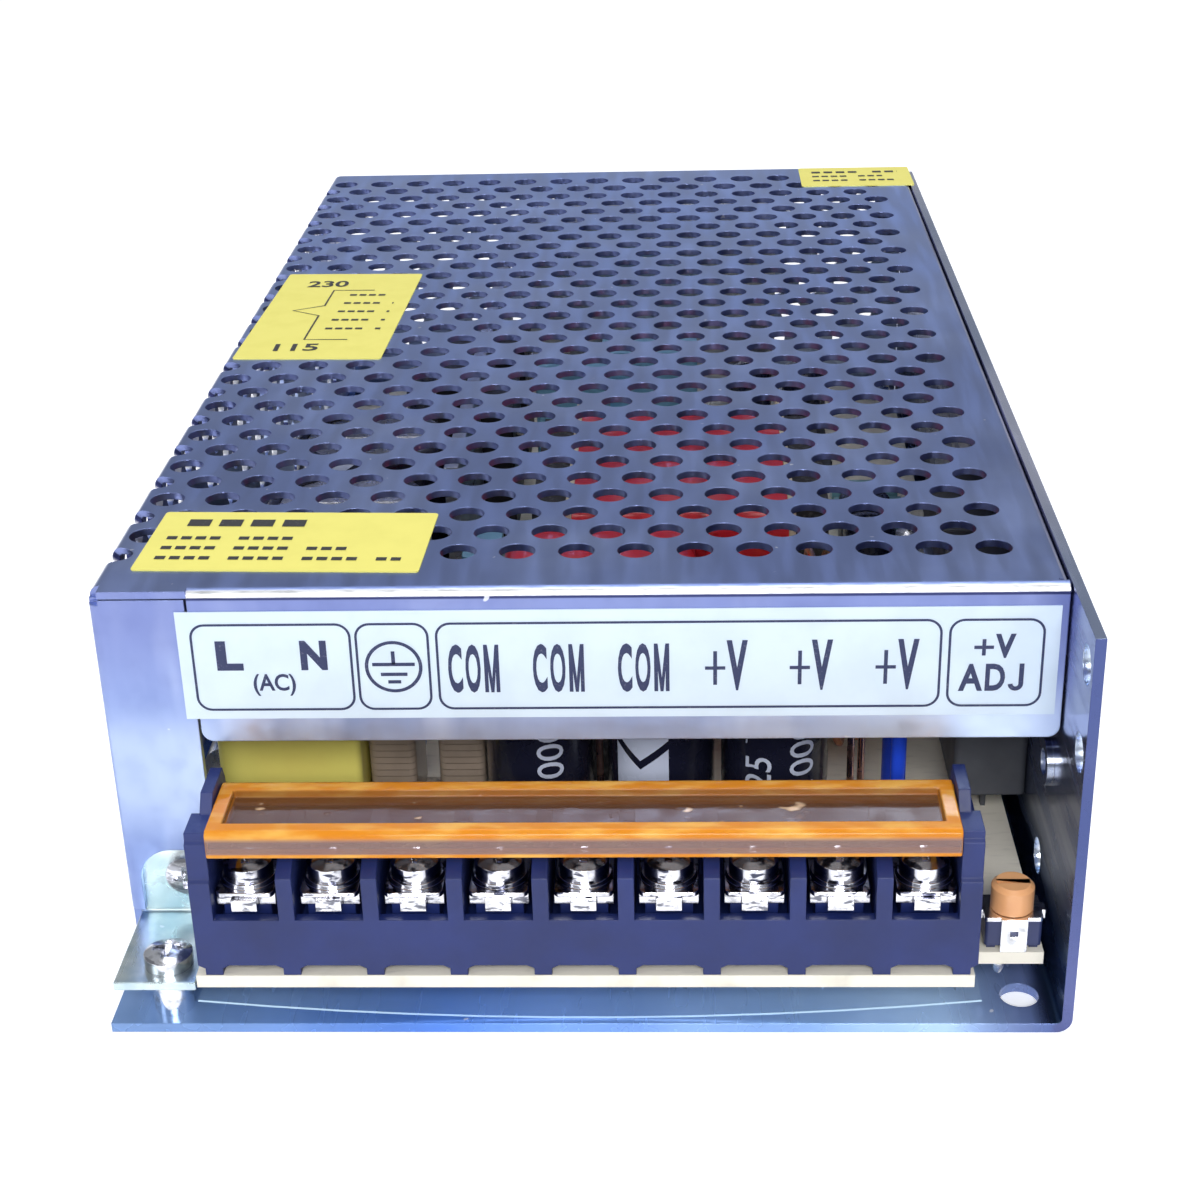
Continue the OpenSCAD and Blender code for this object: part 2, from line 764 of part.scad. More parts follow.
module terminal_plates() {
    nib_w = 2.9;
    plate_y0 = block_y0 + 1.8;
    color([0.82, 0.83, 0.84]) for (i = [0:terminal_count - 1]) translate([terminal_x(i), 0, plate_z])
        difference() {
            union() {
                translate([-plate_w / 2, plate_y0, 0])
                    cube([plate_w, block_y1 - rear_wall_t - 0.1 - plate_y0, plate_t]);
                translate([-nib_w / 2, block_y0 + 0.3, 0]) cube([nib_w, 2, plate_t]);
            }
            translate([0, terminal_y, -1]) cylinder(d = terminal_shank_d + 0.3, h = plate_t + 2);
        }
}

// Under each screw: a square clamp plate and a round spring washer
module clamp_washers() {
    washer_l = 7.6;
    spring_d = terminal_head_d + 0.7;
    color([0.86, 0.87, 0.88]) at_terminals() translate([0, 0, washer_z]) difference() {
        union() {
            linear_extrude(washer_t / 2) round_rect(plate_w, washer_l, 0.8);
            translate([0, 0, washer_t / 2]) cylinder(d = spring_d, h = washer_t / 2);
        }
        translate([0, 0, -1]) cylinder(d = terminal_shank_d + 0.3, h = washer_t + 2);
    }
}

module terminal_screws() {
    color([0.88, 0.89, 0.9]) at_terminals() translate([0, 0, washer_z + washer_t])
        pan_screw(terminal_head_d, terminal_head_h, terminal_shank_d, plate_z - block_z + plate_t - 1);
}

// Clear cover over the screws: raised rims round a thinner window, a front lip and a hinge barrel
module terminal_cover() {
    rim_w = 1.7;
    front_rim = 2.1;
    window_d = 0.9;
    window_y0 = flap_y0 + front_rim;
    edge = 0.5;
    color([0.95, 0.55, 0.15, 0.6]) difference() {
        union() {
            along_x(-flap_half, flap_half) union() {
                polygon([
                    [flap_y0, flap_top - flap_lip_h], [flap_y0 + 1.1, flap_top - flap_lip_h],
                    [flap_y0 + 1.4, flap_top - flap_t], [hinge_y, flap_top - flap_t],
                    [hinge_y, flap_top], [flap_y0 + edge, flap_top], [flap_y0, flap_top - edge]]);
                translate([hinge_y, hinge_z]) circle(hinge_r);
            }
            translate([-flap_half - flap_gap - hinge_pin_l + 0.1, hinge_y, hinge_z]) rotate([0, 90, 0])
                cylinder(d = hinge_pin_d, h = 2 * (flap_half + flap_gap + hinge_pin_l - 0.1));
        }
        translate([-flap_half + rim_w, window_y0, flap_top - window_d])
            cube([2 * (flap_half - rim_w), hinge_y - hinge_r - window_y0, 2]);
    }
}

// ======== output voltage adjuster ========

module adjuster_body() {
    foot_h = 0.6;
    foot_w = 1;
    foot_x = adjuster_body_w / 2 - 0.8;
    foot_l = adjuster_body_d - 1;
    color([0.1, 0.12, 0.2]) difference() {
        union() {
            translate([adjuster_x, adjuster_y, board_top + foot_h])
                soft_box(adjuster_body_w, adjuster_body_d, adjuster_body_h, 0.4);
            for (s = [-1, 1])
                translate([adjuster_x + s * foot_x - foot_w / 2, adjuster_y - foot_l / 2, board_top])
                    cube([foot_w, foot_l, foot_h + 0.1]);
        }
        translate([adjuster_x, adjuster_y, adjuster_plate_z - 2])
            cylinder(d = knob_spindle_d + 2 * hinge_clearance, h = 5);
    }
}

// Sprung metal plate over the adjuster, with a slotted tab in front and short side hooks
module adjuster_bracket() {
    tab_w = 3;
    hook_h = 1.1;
    hook_l = 1.6;
    slot_w = 0.9;
    slot_h = 0.7;
    slot_z = board_top + 2.4;
    plate_w = adjuster_body_w + 0.2;
    hook_x = (plate_w + adjuster_plate_t) / 2 - 0.05;
    hook_z = adjuster_plate_z + adjuster_plate_t - hook_h / 2;
    front = adjuster_y - adjuster_body_d / 2;
    color([0.9, 0.9, 0.92]) difference() {
        union() {
            translate([adjuster_x, adjuster_y, adjuster_plate_z])
                soft_box(plate_w, adjuster_body_d, adjuster_plate_t, 0.4);
            translate([adjuster_x - tab_w / 2, front - adjuster_plate_t, board_top])
                cube([tab_w, adjuster_plate_t, adjuster_plate_z + adjuster_plate_t - board_top]);
            translate([adjuster_x - tab_w / 2, front - adjuster_plate_t, adjuster_plate_z])
                cube([tab_w, 1, adjuster_plate_t]);
            for (s = [-1, 1])
                translate([adjuster_x + s * hook_x, adjuster_y, hook_z])
                    cube([adjuster_plate_t, hook_l, hook_h], center = true);
        }
        translate([adjuster_x, adjuster_y, adjuster_plate_z - 1])
            cylinder(d = knob_spindle_d + 2 * hinge_clearance, h = 3);
        translate([adjuster_x, front, slot_z]) cube([slot_w, tab_w, slot_h], center = true);
    }
}

module adjuster_knob() {
    edge = 0.5;
    slot_w = 0.8;
    slot_d = 1.1;
    slot_l = knob_d * 0.76;
    spindle_l = 1.6;
    color([0.9, 0.45, 0.2]) translate([adjuster_x, adjuster_y, adjuster_plate_z + adjuster_plate_t + 0.1])
        difference() {
            union() {
                rotate_extrude() polygon([
                    [0, 0], [knob_d / 2, 0], [knob_d / 2, knob_h - edge],
                    [knob_d / 2 - edge, knob_h], [0, knob_h]]);
                translate([0, 0, -adjuster_plate_t - spindle_l])
                    cylinder(d = knob_spindle_d, h = adjuster_plate_t + spindle_l + edge);
            }
            translate([-slot_l / 2, -slot_w / 2, knob_h - slot_d]) cube([slot_l, slot_w, 2 * slot_d]);
        }
}

// ======== labels ========

// Printed strip across the lip, above the terminals
module terminal_label() {
    label_drop = 2.5;
    label_h = 13.5;
    color([0.85, 0.92, 0.98]) along_y(lip_y - label_t, lip_y)
        rect(lip_x0 - 1.5, case_h - label_drop - label_h, cover_x1 - 0.9, case_h - label_drop);
}

// A sticker on the cover's top: its front left corner before tilting, width, length and tilt
module sticker(x0, y0, w, l, tilt) {
    color([0.97, 0.93, 0.5]) translate([x0 + w / 2, y0 + l / 2, case_h]) rotate(tilt)
        linear_extrude(label_t) round_rect(w, l, 0.5);
}

module front_sticker() {
    sticker(left_x + 4, lip_y + 5, 33, 16.6, -2);
}

module side_sticker() {
    sticker(left_x + 1.9, selector_y - 21.6, 21.8, 42, -2);
}

module rear_sticker() {
    sticker(right_x - 21.2, rear_y - 14.8, 20.6, 13.4, 0);
}

// ======== mains filter ========

module x_capacitor() {
    color([0.85, 0.78, 0.25]) translate([x_cap_at[0], x_cap_at[1], board_top])
        soft_box(x_cap_size[0], x_cap_size[1], x_cap_size[2], 1);
}

// A disc on two leads, its face square to Y
module disc_part(d, t) {
    lead_h = 1.5;
    translate([0, t / 2, d / 2 + lead_h]) rotate([90, 0, 0]) cylinder(d = d, h = t);
    for (s = [-1, 1]) translate([s * d / 4, 0, 0]) cylinder(d = 0.7, h = lead_h + 2);
}

module y_capacitors() {
    color([0.2, 0.4, 0.75]) for (y = [disc_y, disc_y + 5.4])
        translate([disc_x + 11.5, y, board_top]) disc_part(8, 3.4);
}

module thermistor() {
    color([0.15, 0.3, 0.2]) translate([disc_x, disc_y, board_top]) disc_part(11, 4);
}

module fuse_tube() {
    color([0.85, 0.9, 0.92, 0.5]) translate([fuse_x, fuse_y - fuse_l / 2 + fuse_cap_l, fuse_z])
        rotate([-90, 0, 0]) cylinder(d = fuse_d, h = fuse_l - 2 * fuse_cap_l);
}

// End caps of the fuse, each on a clip that stands on the board
module fuse_clips() {
    clip_w = 3;
    color([0.8, 0.8, 0.78]) for (s = [-1, 1])
        translate([fuse_x, fuse_y + s * (fuse_l - fuse_cap_l) / 2, 0]) union() {
            translate([0, fuse_cap_l / 2, fuse_z]) rotate([90, 0, 0])
                cylinder(d = fuse_d + 0.5, h = fuse_cap_l);
            translate([-clip_w / 2, -clip_w / 2, board_top]) cube([clip_w, clip_w, fuse_z - board_top]);
        }
}

// A rectangular ferrite ring standing across the board, on its lower limb
module filter_core() {
    color([0.25, 0.25, 0.27]) translate([filter_at[0], filter_at[1], board_top])
        along_y(-filter_depth / 2, filter_depth / 2) difference() {
            rect(-filter_w / 2, 0, filter_w / 2, filter_h);
            rect(filter_limb - filter_w / 2, filter_limb, filter_w / 2 - filter_limb, filter_h - filter_limb);
        }
}

module filter_winding() {
    wrap = 1.2;
    end_gap = 0.3;
    foot_z = board_top + filter_limb + end_gap;
    color([0.62, 0.5, 0.38]) for (s = [-1, 1])
        translate([filter_at[0] + s * (filter_w - filter_limb) / 2, filter_at[1], foot_z])
            linear_extrude(filter_h - 2 * filter_limb - 2 * end_gap) difference() {
                round_rect(filter_limb + 2 * wrap, filter_depth + 2 * wrap, 1);
                square([filter_limb, filter_depth], center = true);
            }
}

module bulk_capacitors() {
    color([0.1, 0.1, 0.13]) for (y = bulk_y) translate([bulk_x, y, board_top])
        can_capacitor(bulk_cap_d, bulk_cap_h);
}

// ======== transformers and output choke ========

// Ferrite frame: one limb runs through the winding along X, and yokes join it to a rear limb
module transformer_core() {
    half = transformer_w / 2 + flange_t + core_t;
    rear = barrier_y + barrier_plate_t + 0.3;
    color([0.22, 0.22, 0.24]) translate([centre_x, 0, core_z]) linear_extrude(core_h) union() {
        rect(-half, limb_y, half, limb_y + core_h);
        for (s = [-1, 1]) translate([s * (half - core_t / 2), 0])
            rect(-core_t / 2, limb_y, core_t / 2, rear + core_t);
        rect(-half, rear, half, rear + core_t);
    }
}

// End flanges, foot rails with the pins, and a rear barrier plate
module transformer_bobbin() {
    half = transformer_w / 2 + flange_t;
    rail_h = winding_z - board_top - 0.4;
    rail_l = 5;
    rail_inset = 2;
    flange_z = board_top + 0.6;
    color([0.93, 0.87, 0.7]) translate([centre_x, 0, 0]) difference() {
        union() {
            for (x = [-half, half - flange_t]) along_x(x, x + flange_t)
                rect(transformer_y0, flange_z, barrier_y + barrier_plate_t, transformer_top + 0.5);
            for (y = [transformer_y0 + rail_inset, transformer_y0 + transformer_l - rail_inset - rail_l])
                translate([-half, y, board_top]) cube([2 * half, rail_l, rail_h]);
            translate([-half, barrier_y, flange_z])
                cube([2 * half, barrier_plate_t, transformer_top - 1 - flange_z]);
        }
        translate([-half - 1, limb_y - limb_gap, core_z - limb_gap])
            cube([2 * half + 2, core_h + 2 * limb_gap, core_h + 2 * limb_gap]);
    }
}

module transformer_winding() {
    mid_z = (winding_z + transformer_top) / 2;
    x0 = centre_x - transformer_w / 2;
    color([0.85, 0.16, 0.2]) along_x(x0, x0 + transformer_w) difference() {
        translate([transformer_y0 + transformer_l / 2, mid_z])
            round_rect(transformer_l - 0.4, transformer_top - winding_z, coil_corner_r);
        rect(limb_y - limb_gap, core_z - limb_gap, limb_y + core_h + limb_gap, core_z + core_h + limb_gap);
    }
}

// Two upright ferrite plates joined by a limb through the winding
module driver_core() {
    yoke_h = 25;
    color([0.24, 0.24, 0.26]) translate([driver_x, 0, board_top]) union() {
        for (y = [driver_y0 - driver_yoke_t - limb_gap, driver_y0 + driver_l + limb_gap])
            translate([-driver_w / 2, y, 0]) cube([driver_w, driver_yoke_t, yoke_h]);
        translate([-driver_limb / 2, driver_y0 - 1, driver_limb_z])
            cube([driver_limb, driver_l + 2, driver_limb]);
    }
}

module driver_winding() {
    coil_h = 26;
    foot_h = 4;
    half_slot = driver_limb / 2 + limb_gap;
    color([0.82, 0.15, 0.19]) translate([driver_x, 0, board_top]) along_y(driver_y0, driver_y0 + driver_l)
        difference() {
            translate([0, foot_h + coil_h / 2]) round_rect(driver_w, coil_h, coil_corner_r);
            rect(-half_slot, driver_limb_z - limb_gap, half_slot, driver_limb_z + driver_limb + limb_gap);
        }
}

module output_capacitors() {
    color([0.09, 0.09, 0.12]) for (x = out_cap_x) translate([x, out_cap_y, board_top])
        can_capacitor(out_cap_d, out_cap_h);
}

// Stands the choke's ring on edge, its axis along Y
module at_choke() {
    translate([choke_x, choke_y, choke_z]) rotate([90, 0, 0]) children();
}

// Half the core ring's section, and with grow the copper's outline round it
module choke_section(grow) {
    ring_h = choke_w - 2 * choke_wire_t;
    corner_r = 0.6 + grow * 0.7;
    translate([choke_d / 2 - choke_wire_t - choke_ring_t / 2, 0])
        round_rect(choke_ring_t + 2 * grow, ring_h + 2 * grow, corner_r);
}

module choke_core() {
    color([0.75, 0.7, 0.25]) at_choke() rotate_extrude() choke_section(0);
}

// Heavy copper turns, each a band round the ring, spread evenly
module choke_winding() {
    turn = 360 / choke_turns;
    gap = 2.4;
    color([0.85, 0.45, 0.3]) at_choke() for (i = [0:choke_turns - 1])
        rotate(i * turn + 90) rotate_extrude(angle = turn - gap) difference() {
            choke_section(choke_wire_t);
            choke_section(choke_ring_clearance);
        }
}

// ======== heatsinks and power devices ========

module inner_heatsink() {
    x0 = heatsink_x - heatsink_t / 2;
    color([0.8, 0.82, 0.86]) along_x(x0, x0 + heatsink_t) difference() {
        rect(heatsink_y0, board_top, heatsink_y1, heatsink_top);
        for (y = concat(transistor_y, [bridge_y])) translate([y, device_z + device_hole_z])
            circle(d = board_screw_bore_d);
    }
}

module rear_heatsink() {
    x0 = rear_sink_x - rear_sink_w / 2;
    color([0.82, 0.86, 0.92]) along_x(x0, x0 + rear_sink_w) union() {
        rect(rear_sink_y, board_top, rear_sink_y + rear_sink_t, rear_sink_top);
        rect(rear_sink_y, rear_sink_top - rear_sink_t, rear_sink_y + rear_sink_l, rear_sink_top);
    }
}

// Leads of a flat device: count of them along Y, from the board up into its body
module device_leads(count, pitch, body_z) {
    lead_t = 0.6;
    lead_w = 1;
    for (i = [0:count - 1])
        translate([-lead_t / 2, (i - (count - 1) / 2) * pitch - lead_w / 2, board_top])
            cube([lead_t, lead_w, body_z - board_top + 1]);
}

// A flat device with its back at x = 0, its leads below it and a screw hole through it
module flat_device(size, lead_count, lead_pitch) {
    difference() {
        union() {
            translate([0, -size[1] / 2, device_z]) cube(size);
            translate([size[0] / 2, 0, 0]) device_leads(lead_count, lead_pitch, device_z);
        }
        translate([-1, 0, device_z + device_hole_z]) rotate([0, 90, 0])
            cylinder(d = board_screw_hole_d, h = size[0] + 2);
    }
}

module switching_transistors() {
    color([0.12, 0.12, 0.14]) for (y = transistor_y) translate([heatsink_x + heatsink_t / 2, y, 0])
        flat_device(transistor_size, 3, 5.4);
}

module bridge_rectifier() {
    color([0.1, 0.1, 0.11]) translate([heatsink_x - heatsink_t / 2 - bridge_size[0], bridge_y, 0])
        flat_device(bridge_size, 4, 6);
}

// Grey insulating sleeves over the output devices, held against the chassis wall
module output_rectifiers() {
    color([0.3, 0.32, 0.36]) for (y = rectifier_y) translate([wall_x - rectifier_size[0] / 2, y, 0]) union() {
        translate([0, 0, rectifier_z])
            soft_box(rectifier_size[0], rectifier_size[1], rectifier_size[2], 0.8);
        device_leads(3, 5, rectifier_z);
    }
}

// Spring strip that presses both sleeves against the wall
module device_clamp() {
    inset = 2;
    x1 = wall_x - rectifier_size[0];
    color([0.72, 0.74, 0.76]) along_x(x1 - clamp_t, x1) difference() {
        rect(rectifier_y[0] - rectifier_size[1] / 2 + inset, clamp_screw_z - clamp_h / 2,
            rectifier_y[1] + rectifier_size[1] / 2 - inset, clamp_screw_z + clamp_h / 2);
        translate([clamp_screw_y, clamp_screw_z]) circle(d = board_screw_hole_d);
    }
}

// A device's screw, its head's underside at x = 0 and its shank towards -X
module device_screw(grip) {
    rotate([0, 90, 0]) pan_screw(5, 1.8, board_screw_shank_d, grip);
}

module device_screws() {
    screw_z = device_z + device_hole_z;
    color([0.75, 0.77, 0.8]) {
        for (y = transistor_y) translate([heatsink_x + heatsink_t / 2 + transistor_size[0], y, screw_z])
            device_screw(transistor_size[0] + heatsink_t + screw_reach);
        translate([heatsink_x - heatsink_t / 2 - bridge_size[0], bridge_y, screw_z])
            mirror([1, 0, 0]) device_screw(bridge_size[0] + heatsink_t + screw_reach);
        translate([wall_x - rectifier_size[0] - clamp_t, clamp_screw_y, clamp_screw_z])
            mirror([1, 0, 0]) device_screw(rectifier_size[0] + clamp_t + chassis_t - 0.2);
    }
}

// ======== small parts ========

// Places its children on the board at each [x, y] of a list
module on_board(places) {
    for (at = places) translate([at[0], at[1], board_top]) children();
}

// Two flat chips with seven legs down each side
module control_chips() {
    body = [6.4, 19, 3.4];
    leg_pitch = 2.54;
    leg_w = 0.5;
    leg_z = 1.8;
    span = body[0] + 0.8;
    color([0.12, 0.12, 0.14]) on_board([
        [centre_x + 3, rear_at(0.65)], [wall_x - 19.8, rear_at(0.56)]]) union() {
        translate([0, 0, leg_w]) soft_box(body[0], body[1], body[2], 0.3);
        for (i = [-3:3]) translate([-span / 2, i * leg_pitch - leg_w / 2, leg_z]) cube([span, leg_w, 0.4]);
        for (x = [-span / 2, span / 2], i = [-3:3])
            translate([x - leg_w / 2, i * leg_pitch - leg_w / 2, 0]) cube([leg_w, leg_w, leg_z + 0.2]);
    }
}

// Tall rounded blocks; each row of the list is x, y, width, length and height
module film_capacitors() {
    color([0.45, 0.72, 0.85]) for (c = [
        [centre_x - 5, rear_at(0.4), 16, 8, 27],
        [centre_x - 17.5, rear_at(0.26), 12, 6, 27],
        [bulk_x + 17.5, bulk_y[0] + 4, 5, 10, 24]])
        on_board([[c[0], c[1]]]) soft_box(c[2], c[3], c[4], 0.8);
}

module small_capacitors() {
    right = wall_x - 13.8;
    left = left_x + 19;
    color([0.12, 0.13, 0.2]) on_board([
        [right, bulk_y[1] + 14], [right, bulk_y[1] + 24],
        [centre_x + 13, rear_at(0.83)], [centre_x - 19, rear_at(0.73)], [right - 6, rear_at(0.83)],
        [left, rear_at(0.13)], [left, rear_at(0.83)]])
        can_capacitor(8, 12);
}

// Round bodies held above the board on two bent leads
module power_resistors() {
    body_d = 4;
    body_l = 11;
    lead_h = 3;
    lead_x = body_l / 2 - 0.6;
    right = wall_x - 11.8;
    left = left_x + 15;
    color([0.55, 0.7, 0.75]) on_board([
        [right, rear_at(0.2)], [right, rear_at(0.3)], [centre_x - 7, rear_at(0.9)],
        [left, rear_at(0.35)], [left, rear_at(0.5)]]) union() {
        translate([-body_l / 2, 0, lead_h]) rotate([0, 90, 0]) cylinder(d = body_d, h = body_l);
        for (s = [-1, 1]) translate([s * lead_x, 0, 0]) cylinder(d = 0.7, h = lead_h);
    }
}

// Insulated wire that rises from the board, arches towards the terminals and returns to it
module sense_wire() {
    leg_h = 20;
    color([0.15, 0.3, 0.85]) translate([wire_x, front_y + 27, board_top]) union() {
        for (s = [-1, 1]) translate([0, s * wire_bend_r, 0]) cylinder(d = wire_d, h = leg_h);
        translate([0, 0, leg_h]) rotate([90, 0, 90]) rotate_extrude(angle = 180)
            translate([wire_bend_r, 0]) circle(d = wire_d);
    }
}

// Bare leads that stand between the output capacitors and beside the choke
module tall_leads() {
    lead_h = 24;
    beside = out_cap_x[2] + 9.2;
    color([0.85, 0.55, 0.45]) on_board([
        [(out_cap_x[0] + out_cap_x[1]) / 2, out_cap_y - 2],
        [beside, out_cap_y - 1], [beside + 1.5, out_cap_y + 1.5]])
        cylinder(d = lead_d, h = lead_h);
}

// ======== mains voltage selector ========

module selector_body() {
    slot_l = slider_l + selector_travel + 2 * selector_gap;
    slot_h = slider_h + 2 * selector_gap;
    mid_y = selector_y + selector_travel / 2;
    color([0.1, 0.1, 0.12]) difference() {
        translate([selector_x0, mid_y - selector_l / 2, board_top])
            cube([selector_w, selector_l, selector_h]);
        translate([selector_x0 - 1, mid_y - slot_l / 2, selector_z - slot_h / 2])
            cube([selector_slot_d + 1, slot_l, slot_h]);
    }
}

module selector_slider() {
    groove = 0.6;
    groove_d = 0.8;
    tip_x = left_x + 0.2;
    color([0.8, 0.12, 0.12]) difference() {
        translate([tip_x, selector_y - slider_l / 2, selector_z - slider_h / 2])
            cube([selector_x0 + selector_slot_d - selector_gap - tip_x, slider_l, slider_h]);
        translate([tip_x - 1, selector_y - groove / 2, selector_z - slider_h])
            cube([groove_d + 1, groove, 2 * slider_h]);
    }
}

chassis();
mesh_cover();
cover_screws();
insulating_film();
standoffs();
board_screws();
circuit_board();
earth_bracket();
bracket_screws();
terminal_block();
terminal_plates();
clamp_washers();
terminal_screws();
terminal_cover();
adjuster_body();
adjuster_bracket();
adjuster_knob();
terminal_label();
front_sticker();
side_sticker();
rear_sticker();
x_capacitor();
y_capacitors();
fuse_tube();
fuse_clips();
thermistor();
filter_core();
filter_winding();
bridge_rectifier();
bulk_capacitors();
transformer_core();
transformer_bobbin();
transformer_winding();
driver_core();
driver_winding();
output_capacitors();
choke_core();
choke_winding();
inner_heatsink();
rear_heatsink();
switching_transistors();
output_rectifiers();
device_clamp();
device_screws();
control_chips();
film_capacitors();
small_capacitors();
power_resistors();
sense_wire();
tall_leads();
selector_body();
selector_slider();
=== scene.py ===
"""Looks of a mesh case switching power supply: finishes, windings, cans, print, floor, lamps and camera.

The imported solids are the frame. Every solid keeps its place and gets a finish here. The pieces that need
more form than the solids carry, such as the wound choke, the capacitor cans and the print, are worked out
as surfaces in the same frame, in metres.
"""

import logging
import math
from dataclasses import dataclass, field
from enum import Enum
from typing import Dict, List, Optional, Sequence, Tuple

import bmesh
import bpy
import numpy as np
from mathutils import Matrix, Vector

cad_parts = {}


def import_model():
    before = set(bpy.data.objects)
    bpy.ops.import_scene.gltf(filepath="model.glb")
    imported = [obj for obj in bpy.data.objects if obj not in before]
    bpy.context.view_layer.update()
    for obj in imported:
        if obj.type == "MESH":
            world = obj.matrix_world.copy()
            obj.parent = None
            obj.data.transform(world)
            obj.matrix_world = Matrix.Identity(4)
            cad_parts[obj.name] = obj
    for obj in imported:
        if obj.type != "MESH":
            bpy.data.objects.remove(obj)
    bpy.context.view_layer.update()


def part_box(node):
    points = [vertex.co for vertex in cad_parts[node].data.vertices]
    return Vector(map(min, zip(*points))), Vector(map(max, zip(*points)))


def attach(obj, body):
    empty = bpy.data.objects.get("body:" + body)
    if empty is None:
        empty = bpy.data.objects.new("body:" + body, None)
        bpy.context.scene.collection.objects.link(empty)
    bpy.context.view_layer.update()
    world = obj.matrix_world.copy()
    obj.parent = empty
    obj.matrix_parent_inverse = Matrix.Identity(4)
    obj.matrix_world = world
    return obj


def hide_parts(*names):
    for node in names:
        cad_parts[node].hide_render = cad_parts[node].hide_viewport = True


LOG = logging.getLogger("power_supply")
MM = 0.001
Colour = Tuple[float, float, float]
Point = Tuple[float, float, float]
Pair = Tuple[float, float]


def shaded(colour: Colour, factor: float) -> Colour:
    """A colour times a factor, kept at 1 or below."""
    return tuple(min(part * factor, 1.0) for part in colour)


# ---------------------------------------------------------------- shader building


class Shader:
    """One node material, built around a Principled surface."""

    def __init__(self, name: str) -> None:
        """Starts a material.

        Args:
            name: name of the material.
        """
        self.material = bpy.data.materials.new(name)
        self.material.use_nodes = True
        self.tree = self.material.node_tree
        self.tree.nodes.clear()
        self.output = self.tree.nodes.new("ShaderNodeOutputMaterial")
        self.surface = self.tree.nodes.new("ShaderNodeBsdfPrincipled")
        self.link(self.surface.outputs["BSDF"], self.output.inputs["Surface"])

    def link(self, source: bpy.types.NodeSocket, target: bpy.types.NodeSocket) -> None:
        """Joins two sockets."""
        self.tree.links.new(source, target)

    def feed(self, target: bpy.types.NodeSocket, value: object) -> None:
        """Puts a number, a colour or another socket into a socket.

        Args:
            target: the socket that takes the value.
            value: a socket, a number or a sequence of numbers.
        """
        if isinstance(value, bpy.types.NodeSocket):
            self.link(value, target)
        elif isinstance(value, (int, float)):
            target.default_value = value
        else:
            numbers = list(value)
            short = len(numbers) < len(target.default_value)
            target.default_value = numbers + [1.0] if short else numbers

    def set(self, **sockets: object) -> None:
        """Sets sockets of the Principled surface; an underscore stands for a space in their names."""
        for name, value in sockets.items():
            self.feed(self.surface.inputs[name.replace("_", " ")], value)

    def coords(self, scale: Point = (1.0, 1.0, 1.0), space: str = "Object") -> bpy.types.NodeSocket:
        """Object, UV or Normal coordinates, scaled.

        Args:
            scale: factor on each axis.
            space: Object, UV or Normal.

        Returns:
            The vector socket.
        """
        source = self.tree.nodes.new("ShaderNodeTexCoord").outputs[space]
        mapping = self.tree.nodes.new("ShaderNodeMapping")
        mapping.inputs["Scale"].default_value = scale
        self.link(source, mapping.inputs["Vector"])
        return mapping.outputs["Vector"]

    def noise(self, vector: bpy.types.NodeSocket, scale: float,
              detail: float = 3.0) -> bpy.types.NodeSocket:
        """Noise on a vector.

        Args:
            vector: where the noise is read.
            scale: cells per unit.
            detail: octaves.

        Returns:
            The factor socket, 0 to 1.
        """
        node = self.tree.nodes.new("ShaderNodeTexNoise")
        node.inputs["Scale"].default_value = scale
        node.inputs["Detail"].default_value = detail
        self.link(vector, node.inputs["Vector"])
        return node.outputs["Fac"]

    def ramp(self, fac: bpy.types.NodeSocket,
             stops: Sequence[Tuple[float, Colour]]) -> bpy.types.NodeSocket:
        """A colour ramp.

        Args:
            fac: where the ramp is read.
            stops: positions and colours.

        Returns:
            The colour socket.
        """
        node = self.tree.nodes.new("ShaderNodeValToRGB")
        elements = node.color_ramp.elements
        while len(elements) < len(stops):
            elements.new(0.5)
        for element, (position, colour) in zip(elements, stops):
            element.position = position
            element.color = (*colour, 1.0)
        self.link(fac, node.inputs["Fac"])
        return node.outputs["Color"]

    def span(self, fac: bpy.types.NodeSocket, low: float, high: float, a: float = 0.0,
             b: float = 1.0) -> bpy.types.NodeSocket:
        """Maps low..high to a..b with clamping.

        Args:
            fac: the value to map.
            low: value that gives a.
            high: value that gives b.
            a: result at low.
            b: result at high.

        Returns:
            The mapped socket.
        """
        node = self.tree.nodes.new("ShaderNodeMapRange")
        node.interpolation_type = "SMOOTHSTEP"
        self.link(fac, node.inputs["Value"])
        for name, value in (("From Min", low), ("From Max", high), ("To Min", a), ("To Max", b)):
            node.inputs[name].default_value = value
        return node.outputs["Result"]

    def mix(self, fac: object, a: object, b: object, blend: str = "MIX") -> bpy.types.NodeSocket:
        """Mixes two colours.

        Args:
            fac: 0 gives a and 1 gives b.
            a: first colour or socket.
            b: second colour or socket.
            blend: how they mix, such as MIX or MULTIPLY.

        Returns:
            The colour socket.
        """
        node = self.tree.nodes.new("ShaderNodeMix")
        node.data_type = "RGBA"
        node.blend_type = blend
        self.feed(node.inputs[0], fac)
        self.feed(node.inputs[6], a)
        self.feed(node.inputs[7], b)
        return node.outputs[2]

    def math(self, operation: str, a: object, b: object = 0.0) -> bpy.types.NodeSocket:
        """One arithmetic step.

        Args:
            operation: name of the Math node's operation.
            a: first value or socket.
            b: second value or socket.

        Returns:
            The value socket.
        """
        node = self.tree.nodes.new("ShaderNodeMath")
        node.operation = operation
        self.feed(node.inputs[0], a)
        self.feed(node.inputs[1], b)
        return node.outputs[0]

    def times(self, *values: object) -> bpy.types.NodeSocket:
        """The product of two or more values or sockets."""
        product = values[0]
        for value in values[1:]:
            product = self.math("MULTIPLY", product, value)
        return product

